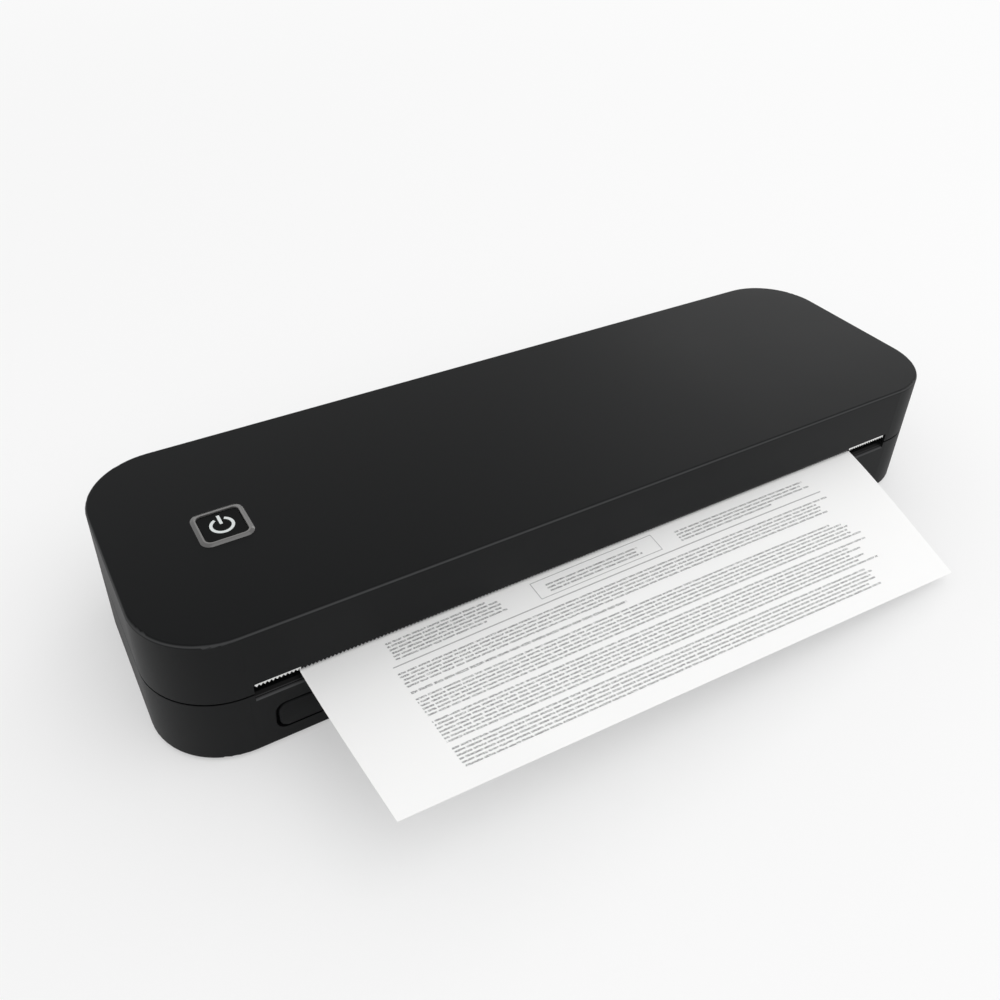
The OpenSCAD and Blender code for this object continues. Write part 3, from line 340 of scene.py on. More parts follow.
@dataclass(frozen=True)
class SoftTouch(Finish):
    """Matte moulded plastic of the case, with painted light on its walls against a darker top, a
    painted highlight on its edge, and a painted highlight and painted shade at the slot lip.

    The lip's bands are given in millimetres over its low side.
    """

    name: str = "case_black"
    colour: Colour = (0.0032, 0.0035, 0.0038)
    # Painted light: the walls are a lighter copy of the top's colour, for how light falls on them
    painted_lit_walls: Colour = (0.0090, 0.0094, 0.0098)
    roughness: float = 0.48
    specular: float = 0.092
    cloud: float = 9.0
    cloud_gain: float = 1.35
    cloud_lift: float = 0.0004
    grain: float = 5200.0
    grain_depth: float = 0.010 * MM
    wall_upward: float = 0.35
    top_upward: float = 0.95
    speck_cells: float = 1300.0
    speck_size: float = 0.085
    speck_patches: float = 60.0
    speck_cover: float = 0.56
    speck_strength: float = 0.010
    speck: Colour = (0.5, 0.5, 0.5)
    # Painted highlight along the cover's rounded top edge
    edge: Colour = (0.046, 0.047, 0.048)
    edge_highlight_from: float = 43.0 * MM
    edge_highlight_upward: tuple[float, ...] = (0.30, 0.55, 0.70, 0.92)
    # Painted highlight on the slot's lower lip
    painted_lip_highlight: Colour = (0.060, 0.060, 0.062)
    # Painted shade in the slot's throat
    painted_throat_shade: Colour = (0.0004, 0.0004, 0.0004)
    throat_shade_strength: float = 0.9
    lip_low: float = 20.2 * MM
    lip_high: float = 24.0 * MM
    lip_half: float = 120.4 * MM
    lip_front: float = -43.3 * MM
    lip_band: tuple[float, ...] = (0.25, 0.45, 0.85)
    lip_glint: tuple[float, ...] = (1.0, 1.2)
    glint_strength: float = 0.35

    def inputs(self, tree: Tree) -> Inputs:
        """Lays a soft cloud, fine grain and sparse specks, with painted light on the walls, then
        the painted highlights on the edge and the slot lip and the painted shade in its throat.

        Args:
            tree: The material's tree.

        Returns:
            Values and signals of the shader's sockets.
        """
        broad = tree.noise(self.cloud, 3.0)
        fine = tree.noise(self.grain, 3.0)
        patches = tree.noise(self.speck_patches, 1.0) > self.speck_cover
        specks = (tree.cells(self.speck_cells) < self.speck_size) * patches
        # Painted light: lighter on the walls, darker on the top, by which way the surface faces
        tops = tree.upward().mapped(self.wall_upward, self.top_upward)
        plain = (self.painted_lit_walls, self.colour)
        light = [scaled(colour, self.cloud_gain, self.cloud_lift) for colour in plain]
        colour = tree.mix(broad.spread(), tree.mix(tops, *plain), tree.mix(tops, *light))
        colour = self._slot_lip(tree, self._painted_edge_highlight(tree, colour))
        rough = self.roughness + broad.spread(-0.03, 0.03) + fine.spread(-0.05, 0.05)
        return {
            "Base Color": tree.mix(specks * self.speck_strength, colour, self.speck),
            "Roughness": rough,
            "Specular IOR Level": self.specular,
            "Normal": tree.bump(fine, self.grain_depth),
        }

    def _painted_edge_highlight(self, tree: Tree, colour: Signal) -> Signal:
        """Lays a painted highlight, a fine pale line, on the rounded edge of the cover.

        Args:
            tree: The material's tree.
            colour: The colour so far.

        Returns:
            The colour with the line.
        """
        upward = tree.upward()
        start, full, fading, end = self.edge_highlight_upward
        crest_highlight = upward.mapped(start, full) * upward.mapped(end, fading)
        return tree.mix(crest_highlight * (tree.place().part("Z") > self.edge_highlight_from), colour, self.edge)

    def _slot_lip(self, tree: Tree, colour: Signal) -> Signal:
        """Lays a painted highlight band and a thin painted glint on the slot's lower lip, with
        painted shade in the throat above it.

        Args:
            tree: The material's tree.
            colour: The colour so far.

        Returns:
            The colour with the lip.
        """
        place = tree.place()
        height = place.part("Z")
        lip = (height > self.lip_low) * (height < self.lip_high)
        lip = lip * (place.part("X").absolute() < self.lip_half)
        lip = lip * (place.part("Y") < self.lip_front)
        above = (height - self.lip_low) / MM
        full, fading, end = self.lip_band
        band = above.mapped(0.0, full) * above.mapped(end, fading)
        # Painted highlight band on the lip, painted shade in the throat above it, then a thin
        # painted glint line
        colour = tree.mix(lip * band, colour, self.painted_lip_highlight)
        colour = tree.mix(lip * (above > end) * self.throat_shade_strength, colour, self.painted_throat_shade)
        low, high = self.lip_glint
        glint = lip * (above > low) * (above < high)
        return tree.mix(glint * self.glint_strength, colour, self.painted_lip_highlight)


@dataclass(frozen=True)
class Moulded(Finish):
    """Plain moulded plastic with a spark-eroded grain and faint flow marks."""

    colour: Colour
    roughness: float = 0.42
    grain: float = 2600.0
    grain_depth: float = 0.012 * MM
    coat: float = 0.0
    coat_roughness: float = 0.12
    # Painted highlight: a pale colour above a height, on the crest of a rim
    crest_highlight_from: float | None = None
    crest_highlight: Colour = (0.150, 0.146, 0.143)
    flow: float = 14.0

    def inputs(self, tree: Tree) -> Inputs:
        """Lays flow marks and grain, and a painted highlight on the crest where it has one.

        Args:
            tree: The material's tree.

        Returns:
            Values and signals of the shader's sockets.
        """
        flow = tree.noise(self.flow, 3.0, tree.stretched((0.25, 1.0, 1.0)))
        fine = tree.noise(self.grain, 2.0)
        colour = tree.mix(flow.spread(), self.colour, scaled(self.colour, 1.25, 0.002))
        # Painted highlight above the crest height
        if self.crest_highlight_from is not None:
            colour = tree.mix(tree.place().part("Z") > self.crest_highlight_from, colour, self.crest_highlight)
        return {
            "Base Color": colour,
            "Roughness": self.roughness + flow.spread(-0.05, 0.05),
            "Coat Weight": self.coat,
            "Coat Roughness": self.coat_roughness,
            "Normal": tree.bump(fine, self.grain_depth),
        }


class Brush(Enum):
    """Direction of a metal's finishing marks."""

    ALONG = (0.02, 1.0, 1.0)
    AROUND = (1.0, 0.02, 0.02)
    NONE = (1.0, 1.0, 1.0)


@dataclass(frozen=True)
class Metal(Finish):
    """Bare or plated metal with finishing marks, and painted shade over a middle stretch where it
    has one.
    """

    colour: Colour
    roughness: float = 0.28
    brush: Brush = Brush.ALONG
    marks: float = 9000.0
    marks_depth: float = 0.0015 * MM
    painted_shade: Colour = (0.020, 0.020, 0.021)
    shade_middle: float = 0.0
    shade_half: float = 0.0

    def inputs(self, tree: Tree) -> Inputs:
        """Draws the finishing marks, and the painted shade over the middle stretch where it has
        one.

        Args:
            tree: The material's tree.

        Returns:
            Values and signals of the shader's sockets.
        """
        lines = tree.noise(self.marks, 2.0, tree.stretched(self.brush.value))
        cloud = tree.noise(70.0, 3.0)
        colour = tree.mix(lines.mapped(0.35, 0.65), scaled(self.colour, 0.82), self.colour)
        # Painted shade over the middle stretch
        if self.shade_half:
            from_middle = (tree.place().part("X") - self.shade_middle).absolute()
            colour = tree.mix(from_middle < self.shade_half, colour, self.painted_shade)
        rough = self.roughness + lines.spread(-0.06, 0.06) + cloud.spread(0.0, 0.06)
        return {
            "Base Color": colour,
            "Metallic": 1.0,
            "Roughness": rough,
            "Normal": tree.bump(lines, self.marks_depth),
        }


@dataclass(frozen=True)
class Rubber(Finish):
    """Dull rubber with a ground surface and a little dust."""

    colour: Colour
    roughness: float = 0.82
    pores: float = 2400.0
    pore_depth: float = 0.02 * MM
    dust: float = 180.0

    def inputs(self, tree: Tree) -> Inputs:
        """Lays pores and dust.

        Args:
            tree: The material's tree.

        Returns:
            Values and signals of the shader's sockets.
        """
        pores = tree.cells(self.pores)
        dust = tree.noise(self.dust, 3.0).mapped(0.45, 0.75)
        return {
            "Base Color": tree.mix(dust, self.colour, scaled(self.colour, 1.8, 0.006)),
            "Roughness": self.roughness + pores.mapped(0.0, 0.6, -0.06, 0.06),
            "Normal": tree.bump(pores, self.pore_depth),
        }


@dataclass(frozen=True)
class CircuitBoard(Finish):
    """Solder mask over copper tracks, with pads at their turns."""

    name: str = "board_green"
    mask: Colour = (0.010, 0.085, 0.040)
    track: Colour = (0.030, 0.175, 0.085)
    pad: Colour = (0.62, 0.58, 0.42)
    tracks: float = 900.0
    track_share: float = 0.3
    track_cover: float = 0.47
    track_sway: float = 6.0
    track_height: float = 0.03 * MM
    pads: float = 420.0
    pad_size: float = 0.16
    pad_cover: float = 0.5

    def inputs(self, tree: Tree) -> Inputs:
        """Draws wavering tracks with pads.

        Args:
            tree: The material's tree.

        Returns:
            Values and signals of the shader's sockets.
        """
        sway = tree.noise(90.0, 0.0) * self.track_sway
        across = (tree.place().part("X") * self.tracks + sway).fraction()
        tracks = (across < self.track_share) * (tree.noise(160.0, 0.0) > self.track_cover)
        patches = tree.noise(240.0, 0.0) > self.pad_cover
        pads = (tree.cells(self.pads) < self.pad_size) * patches
        return {
            "Base Color": tree.mix(pads, tree.mix(tracks, self.mask, self.track), self.pad),
            "Roughness": tree.noise(500.0).spread(0.24, 0.36),
            "Normal": tree.bump(tracks, self.track_height),
        }


@dataclass(frozen=True)
class Cardboard(Finish):
    """Wound kraft board with its spiral seam and fibres."""

    name: str = "core_board"
    colour: Colour = (0.34, 0.21, 0.115)
    turns_along: float = 28.0
    turns_across: float = 14.0
    seam_share: float = 0.03
    seam_strength: float = 0.5
    fibres: float = 1500.0
    fibre_height: float = 0.03 * MM

    def inputs(self, tree: Tree) -> Inputs:
        """Draws the spiral seam and the fibres.

        Args:
            tree: The material's tree.

        Returns:
            Values and signals of the shader's sockets.
        """
        place = tree.place()
        spiral = place.part("X") * self.turns_along + place.part("Y") * self.turns_across
        seam = (spiral.fraction() < self.seam_share) * self.seam_strength
        fibres = tree.noise(self.fibres, 4.0, tree.stretched((0.3, 1.0, 1.0)))
        dark = (fibres.mapped(0.35, 0.7) + seam).clamped()
        return {
            "Base Color": tree.mix(dark, self.colour, scaled(self.colour, 0.62)),
            "Roughness": fibres.spread(0.74, 0.9),
            "Normal": tree.bump(fibres, self.fibre_height),
        }


@dataclass(frozen=True)
class ShrinkWrap(Finish):
    """Film on a battery cell, with a pale ring and bare steel at its ends."""

    name: str = "cell_wrap"
    colour: Colour = (0.030, 0.115, 0.300)
    steel: Colour = (0.60, 0.61, 0.62)
    ring: Colour = (0.75, 0.76, 0.78)
    ring_strength: float = 0.7
    ring_from: float = 60.2 * MM
    ring_to: float = 61.4 * MM
    bare_from: float = 62.9 * MM
    wrinkles: float = 420.0
    wrinkle_height: float = 0.05 * MM

    def inputs(self, tree: Tree) -> Inputs:
        """Lays the wrinkled film, the ring and the bare ends.

        Args:
            tree: The material's tree.

        Returns:
            Values and signals of the shader's sockets.
        """
        along = tree.place().part("X").absolute()
        ends = along > self.bare_from
        ring = (along > self.ring_from) * (along < self.ring_to) * self.ring_strength
        wrinkles = tree.noise(self.wrinkles, 3.0, tree.stretched((1.0, 0.3, 0.3)))
        colour = tree.mix(wrinkles.spread(), self.colour, scaled(self.colour, 1.4))
        return {
            "Base Color": tree.mix(ends, tree.mix(ring, colour, self.ring), self.steel),
            "Metallic": ends,
            "Roughness": wrinkles.spread(0.2, 0.32),
            "Normal": tree.bump(wrinkles, self.wrinkle_height),
        }


@dataclass(frozen=True)
class RollPaper(Finish):
    """Paper wound on the roll, with its layers on the end faces."""

    name: str = "paper_wound"
    colour: Colour = (0.86, 0.86, 0.85)
    between: Colour = (0.55, 0.55, 0.54)
    axis_y: float = 18.0 * MM
    axis_z: float = 22.0 * MM
    layer: float = 0.32 * MM
    layer_sway: float = 1.5
    layer_share: float = 0.45
    layer_strength: float = 0.55
    end_from: float = 104.96 * MM
    fibres: float = 2600.0
    fibre_height: float = 0.03 * MM

    def inputs(self, tree: Tree) -> Inputs:
        """Lays the fibres, and the layers on the end faces.

        Args:
            tree: The material's tree.

        Returns:
            Values and signals of the shader's sockets.
        """
        place = tree.place()
        high, deep = place.part("Z") - self.axis_z, place.part("Y") - self.axis_y
        radius = (high * high + deep * deep) ** 0.5
        on_end = place.part("X").absolute() > self.end_from
        wound = radius / self.layer + tree.noise(40.0) * self.layer_sway
        layers = (wound.fraction() > self.layer_share) * on_end
        fibres = tree.noise(self.fibres, 3.0)
        height = (layers * -0.5 + fibres * 0.3).clamped()
        return {
            "Base Color": tree.mix(layers * self.layer_strength, self.colour, self.between),
            "Roughness": fibres.spread(0.5, 0.62),
            "Normal": tree.bump(height, self.fibre_height),
        }


@dataclass(frozen=True)
class Region:
    """Part of the sheet, by distances from its left and from its front edge."""

    left: float
    right: float
    near: float
    far: float

    def mask(self, across: Signal, along: Signal, inset: float = 0.0) -> Signal:
        """1 inside the region, less an inset, and 0 outside."""
        wide = (across > self.left + inset) * (across < self.right - inset)
        return wide * (along > self.near + inset) * (along < self.far - inset)


@dataclass(frozen=True)
class TextBlock(Region):
    """A paragraph of dashes with a ragged right side."""

    ragged: float = 12.0 * MM
    weight: float = 0.5


@dataclass(frozen=True)
class RuledBox(Region):
    """An outlined box."""

    line: float = 0.28 * MM


@dataclass(frozen=True)
class PrintedPaper(Finish):
    """Thermal paper with made-up rows of dashes, rules and boxes that stand for a printed page."""

    name: str = "paper_printed"
    colour: Colour = (0.94, 0.94, 0.935)
    ink: Colour = (0.150, 0.150, 0.155)
    pitch: float = 1.22 * MM
    word: float = 4.2 * MM
    word_gap: float = 0.055
    row_shift: float = 7.31
    letter: float = 0.36 * MM
    ink_strength: float = 0.92
    line_strength: float = 0.85
    fibres: float = 2200.0
    fibre_height: float = 0.006 * MM
    blocks: tuple[TextBlock, ...] = ()
    boxes: tuple[RuledBox, ...] = ()

    def inputs(self, tree: Tree) -> Inputs:
        """Prints the page on the fibres.

        Args:
            tree: The material's tree.

        Returns:
            Values and signals of the shader's sockets.
        """
        flat = tree.node("ShaderNodeUVMap", {"uv_map": PaperSheet.FLAT}).out("UV")
        across, along = flat.part("X"), flat.part("Y")
        ink = self._rows(tree, across, along) * self._letters(tree, flat)
        for box in self.boxes:
            line = box.mask(across, along) - box.mask(across, along, box.line)
            ink = ink.greater(line * self.line_strength)
        fibres = tree.noise(self.fibres, 4.0)
        base = tree.mix(tree.noise(30.0, 2.0).spread(), self.colour, scaled(self.colour, 0.985))
        return {
            "Base Color": tree.mix(ink * self.ink_strength, base, self.ink),
            "Roughness": fibres.spread(0.46, 0.56),
            "Normal": tree.bump(fibres, self.fibre_height),
        }

    def _rows(self, tree: Tree, across: Signal, along: Signal) -> Signal:
        """Mask of the rows of all paragraphs, with their gaps between words.

        Args:
            tree: The material's tree.
            across: Distance from the left edge.
            along: Distance from the front edge.

        Returns:
            1 on a dash and 0 beside it.
        """
        row = (along / self.pitch).floor()
        in_row = (along / self.pitch).fraction()
        words = self._edges(tree, across / self.word + row * self.row_shift) > self.word_gap
        settings = {"noise_dimensions": "1D"}
        ragged = tree.node("ShaderNodeTexWhiteNoise", settings, {"W": row}).out("Value")
        ink = None
        for block in self.blocks:
            wide = (across > block.left) * (across < block.right - ragged * block.ragged)
            inside = wide * (along > block.near) * (along < block.far)
            stroke = inside * (in_row < block.weight)
            ink = stroke if ink is None else ink.greater(stroke)
        return ink * words

    def _letters(self, tree: Tree, flat: Signal) -> Signal:
        """Fine unevenness of the dashes, about as wide as letters.

        Args:
            tree: The material's tree.
            flat: The point on the flat sheet.

        Returns:
            Strength of the ink.
        """
        inputs = {"Vector": flat, "Scale": 1 / self.letter, "Detail": 1.0}
        made = tree.node("ShaderNodeTexNoise", {"noise_dimensions": "2D"}, inputs)
        return made.out(0).mapped(0.38, 0.55, 0.1, 1.0)

    @staticmethod
    def _edges(tree: Tree, at: Signal) -> Signal:
        """Distance to the nearest border of uneven cells along a line.

        Args:
            tree: The material's tree.
            at: The place along the line.

        Returns:
            The distance.
        """
        settings = {"voronoi_dimensions": "1D", "feature": "DISTANCE_TO_EDGE"}
        inputs = {"W": at, "Scale": 1.0, "Randomness": 0.8}
        return tree.node("ShaderNodeTexVoronoi", settings, inputs).out("Distance")


# Meshes


def rounded_loop(
    half_x: float, half_y: float, radius: float, height: float, steps: int = 10
) -> list[Point]:
    """Points round a rectangle with round corners, always as many.

    Args:
        half_x: Half its length.
        half_y: Half its depth.
        radius: Corner radius.
        height: Z of the loop.
        steps: Points per corner, less one.

    Returns:
        The points, counter-clockwise.
    """
    radius = max(radius, 1e-6)
    corners = [(1, 1, 0.0), (-1, 1, 0.5), (-1, -1, 1.0), (1, -1, 1.5)]
    points = []
    for side_x, side_y, start in corners:
        for i in range(steps + 1):
            angle = math.pi * (start + 0.5 * i / steps)
            x = side_x * (half_x - radius) + radius * math.cos(angle)
            y = side_y * (half_y - radius) + radius * math.sin(angle)
            points.append((x, y, height))
    return points


def upright_loop(
    x: float, z: float, half_x: float, half_z: float, radius: float, y: float
) -> list[Point]:
    """Points round an upright rectangle with round corners and its middle at x and z."""
    return [(x + along, y, z + up) for along, up, _ in rounded_loop(half_x, half_z, radius, 0.0)]


def mesh_object(
    name: str, points: Sequence[Point], faces: Sequence[Sequence[int]], sharp: float = 35.0
) -> bpy.types.Object:
    """Makes an object from points and faces, smooth up to an angle and without loose points.

    Args:
        name: The object's name.
        points: Its points, in the frame.
        faces: Its faces, as numbers of points.
        sharp: Angle in degrees from which an edge stays sharp.

    Returns:
        The object.
    """
    mesh = bpy.data.meshes.new(name)
    mesh.from_pydata([tuple(p) for p in points], [], [tuple(f) for f in faces])
    mesh.validate()
    work = bmesh.new()
    work.from_mesh(mesh)
    loose = [v for v in work.verts if not v.link_faces]
    bmesh.ops.delete(work, geom=loose, context="VERTS")
    bmesh.ops.recalc_face_normals(work, faces=work.faces)
    work.to_mesh(mesh)
    work.free()
    mesh.polygons.foreach_set("use_smooth", [True] * len(mesh.polygons))
    mesh.set_sharp_from_angle(angle=math.radians(sharp))
    made = bpy.data.objects.new(name, mesh)
    bpy.context.scene.collection.objects.link(made)
    return made


def lofted(
    name: str, loops: Sequence[Sequence[Point]], closed: bool, sharp: float = 35.0
) -> bpy.types.Object:
    """Joins loops of as many points each into one skin.

    Args:
        name: The object's name.
        loops: The loops, in order.
        closed: Whether the last loop joins the first; otherwise both ends are capped.
        sharp: Angle in degrees from which an edge stays sharp.

    Returns:
        The object.
    """
    count = len(loops[0])
    points = [p for loop in loops for p in loop]
    pairs = [(i, i + 1) for i in range(len(loops) - 1)]
    if closed:
        pairs.append((len(loops) - 1, 0))
    faces: list[Sequence[int]] = []
    for a, b in pairs:
        for i in range(count):
            j = (i + 1) % count
            faces.append((a * count + i, a * count + j, b * count + j, b * count + i))
    if not closed:
        faces.append(list(range(count))[::-1])
        faces.append([(len(loops) - 1) * count + i for i in range(count)])
    return mesh_object(name, points, faces, sharp)


def swept(name: str, line: Sequence[Vector], radius: float, sides: int = 10) -> bpy.types.Object:
    """A round wire along a line.

    Args:
        name: The object's name.
        line: The points of its middle.
        radius: The wire's radius.
        sides: Points round the wire.

    Returns:
        The object.
    """
    loops = []
    normal = Vector((0.0, 0.0, 1.0))
    turns = [2 * math.pi * k / sides for k in range(sides)]
    for i, point in enumerate(line):
        ahead = (line[min(i + 1, len(line) - 1)] - line[max(i - 1, 0)]).normalized()
        side = ahead.cross(normal)
        if side.length < 1e-6:
            side = ahead.cross(Vector((0.0, 1.0, 0.0)))
        side.normalize()
        normal = side.cross(ahead).normalized()
        ring = [math.cos(t) * side + math.sin(t) * normal for t in turns]
        loops.append([tuple(point + radius * outward) for outward in ring])
    return lofted(name, loops, closed=False, sharp=60.0)


# Sub-assemblies


@dataclass
class SubAssembly:
    """What the sub-assemblies share: dressing nodes and adding pieces."""

    made: list[str] = field(default_factory=list)

    def build(self) -> None:
        """Dresses the nodes and adds the pieces, which each kind of sub-assembly does."""
        raise NotImplementedError

    def dress(self, finish: Finish, *nodes: str) -> None:
        """Gives frame nodes a finish.

        Args:
            finish: The finish.
            nodes: The nodes' names.
        """
        material = finish.material()
        for name in nodes:
            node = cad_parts[name]
            node.data.materials.clear()
            node.data.materials.append(material)
            self.made.append(name)
            log.info("node %s wears %s", name, material.name)

    def add(
        self, piece: bpy.types.Object, finish: Finish, body: str, slot: str, *nodes: str
    ) -> None:
        """Adds a piece to the object.

        Args:
            piece: The piece, in place.
            finish: Its finish.
            body: The frame's body that it rides on.
            slot: Not used.
            nodes: Frame nodes that it stands for.
        """
        piece.data.materials.clear()
        piece.data.materials.append(finish.material())
        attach(piece, body)
        if nodes:
            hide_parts(*nodes)
        self.made.append(piece.name)
        log.info("piece %s rides on %s and stands for %s", piece.name, body, nodes or "no node")


@dataclass
class Case(SubAssembly):
    """The two shells, their feet, hinge pins and screws, and the cover release."""

    shell: SoftTouch = SoftTouch()
    # The key's walls are lighter than its face: painted light, as on the case
    key: SoftTouch = SoftTouch(
        "release_black", (0.0040, 0.0043, 0.0046), (0.0078, 0.0082, 0.0086), 0.46
    )
    key_x: float = -98.25 * MM
    key_z: float = 10.285 * MM
    key_half_x: float = 16.65 * MM
    key_half_z: float = 4.565 * MM
    key_corner: float = 3.0 * MM
    key_face: float = -44.85 * MM
    flange_x: float = -98.6 * MM
    flange_z: float = 10.7 * MM
    flange_half_x: float = 18.2 * MM
    flange_half_z: float = 5.9 * MM
    flange_corner: float = 4.2 * MM
    flange_front: float = -42.6 * MM
    flange_back: float = -41.6 * MM
    pin_radius: float = 1.4 * MM
    pin_z: float = 13.5 * MM
    pin_start: float = -41.8 * MM
    pin_middle: float = -40.0 * MM
    pin_end: float = -38.9 * MM
    pin_sides: int = 24

    def build(self) -> None:
        """Dresses the shells and what holds them."""
        self.dress(self.shell, "base_housing", "top_cover")
        self.dress(Rubber("foot_rubber", (0.010, 0.010, 0.010)), "rubber_feet")
        screw = Metal("dark_screw", (0.16, 0.16, 0.17), 0.34, Brush.NONE)
        self.dress(screw, "case_screws", "cover_screws", "motor_screws")
        self.dress(Metal("hinge_steel", (0.62, 0.63, 0.65), 0.25, Brush.ALONG), "hinge_pins")
        self._release_key()
        self._release_pin()

    def _release_key(self) -> None:
        """Builds the release key, low in its opening, with its flange."""
        stem = self.flange_front - self.key_face
        edge = [
            (0.55 * MM, 0.0),
            (0.22 * MM, 0.07 * MM),
            (0.06 * MM, 0.22 * MM),
            (0.0, 0.5 * MM),
            (0.0, stem),
        ]
        loops = [
            upright_loop(
                self.key_x,
                self.key_z,
                self.key_half_x - inset,
                self.key_half_z - inset,
                self.key_corner - inset,
                self.key_face + back,
            )
            for inset, back in edge
        ]
        middle = (self.flange_x, self.flange_z)
        sizes = (self.flange_half_x, self.flange_half_z, self.flange_corner)
        loops += [upright_loop(*middle, *sizes, y) for y in (self.flange_front, self.flange_back)]
        piece = lofted("release_key", loops, closed=False)
        self.add(piece, self.key, "release", "button_black", "release_button")

    def _release_pin(self) -> None:
        """Builds the pin behind the key, which pushes the latch's lever."""
        depths = (self.pin_start, self.pin_middle, self.pin_end)
        line = [Vector((self.flange_x, y, self.pin_z)) for y in depths]
        piece = swept("release_pin", line, self.pin_radius, self.pin_sides)
        self.add(piece, self.key, "release", "button_black")


@dataclass
class TearBar(SubAssembly):
    """The toothed steel strip in the slot's upper edge."""

    pitch: float = 1.13 * MM
    root: float = 25.72 * MM
    tip: float = 24.98 * MM
    sharp: float = 20.0
    # Painted shade: the steel is darker over the stretch where the sheet runs under it
    steel: Metal = Metal(
        "tear_steel", (0.95, 0.95, 0.94), 0.24, shade_middle=-2.6 * MM, shade_half=104.6 * MM
    )

    def build(self) -> None:
        """Builds the strip over its node."""
        low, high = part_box("tear_bar")
        self.add(self._strip(low, high), self.steel, "cover", "tear_steel", "tear_bar")

    def _strip(self, low: Vector, high: Vector) -> bpy.types.Object:
        """Makes the strip with its row of teeth.

        Args:
            low: Low corner of its space.
            high: High corner of its space.

        Returns:
            The strip.
        """
        count = int((high.x - low.x) / self.pitch)
        step = (high.x - low.x) / count
        points: list[Point] = []
        for y in (low.y, high.y):
            for i in range(count + 1):
                x = low.x + i * step
                points += [(x, y, high.z), (x, y, self.root)]
                points.append((min(x + step / 2, high.x), y, self.tip))
        layer = 3 * (count + 1)
        faces: list[Sequence[int]] = [
            (0, 1, layer + 1, layer),
            (layer - 3, 2 * layer - 3, 2 * layer - 2, layer - 2),
        ]
        for i in range(count):
            a, b = 3 * i, 3 * i + 3
            far_a, far_b = layer + a, layer + b
            faces += [
                (a, b, b + 1, a + 1),
                (a + 1, b + 1, a + 2),
                (far_a, far_a + 1, far_b + 1, far_b),
                (far_a + 1, far_a + 2, far_b + 1),
                (a, far_a, far_b, b),
                (a + 1, a + 2, far_a + 2, far_a + 1),
                (a + 2, b + 1, far_b + 1, far_a + 2),
            ]
        return mesh_object("tear_strip", points, faces, self.sharp)


@dataclass
class PowerButton(SubAssembly):
    """The square key, its raised rim and the inlaid symbol."""

    middle_x: float = -112.2 * MM
    middle_y: float = -0.7 * MM
    top: float = 45.0 * MM
    crest_rise: float = 0.55 * MM
    sharp: float = 30.0
    # Round the rim: half width, corner radius and rise over the cover's top, in millimetres
    section: tuple[Point, ...] = (
        (7.40, 2.55, -2.80),
        (7.40, 2.55, -0.01),
        (7.84, 2.99, 0.01),
        (7.85, 3.00, 0.07),
        (7.78, 2.93, 0.16),
        (6.90, 2.30, 0.54),
        (6.76, 2.20, 0.59),
        (6.62, 2.08, 0.60),
        (6.42, 1.96, 0.57),
        (6.32, 1.91, 0.46),
        (6.30, 1.90, 0.30),
        (6.30, 1.90, -2.80),
    )

    def build(self) -> None:
        """Builds the rim and dresses the key and its symbol."""
        black = (0.0030, 0.0032, 0.0034)
        self.dress(SoftTouch("key_black", black, black, 0.34, specular=0.05), "power_button")
        self.dress(Moulded("symbol_grey", (0.58, 0.61, 0.605), 0.40), "power_symbol")
        self.dress(CircuitBoard(), "button_board")
        # The rim's crest above crest_rise gets a painted highlight
        grey = Moulded(
            "bezel_grey",
            (0.068, 0.066, 0.065),
            0.24,
            3000.0,
            0.004 * MM,
            coat=0.35,
            crest_highlight_from=self.top + self.crest_rise,
        )
        self.add(self._rim(), grey, "cover", "bezel_grey", "button_bezel")

    def _rim(self) -> bpy.types.Object:
        """Makes the rim from its section.

        Returns:
            The rim.
        """
        loops = []
        for half, radius, rise in self.section:
            loop = rounded_loop(half * MM, half * MM, radius * MM, self.top + rise * MM)
            loops.append([(self.middle_x + x, self.middle_y + y, z) for x, y, z in loop])
        return lofted("button_rim", loops, closed=True, sharp=self.sharp)


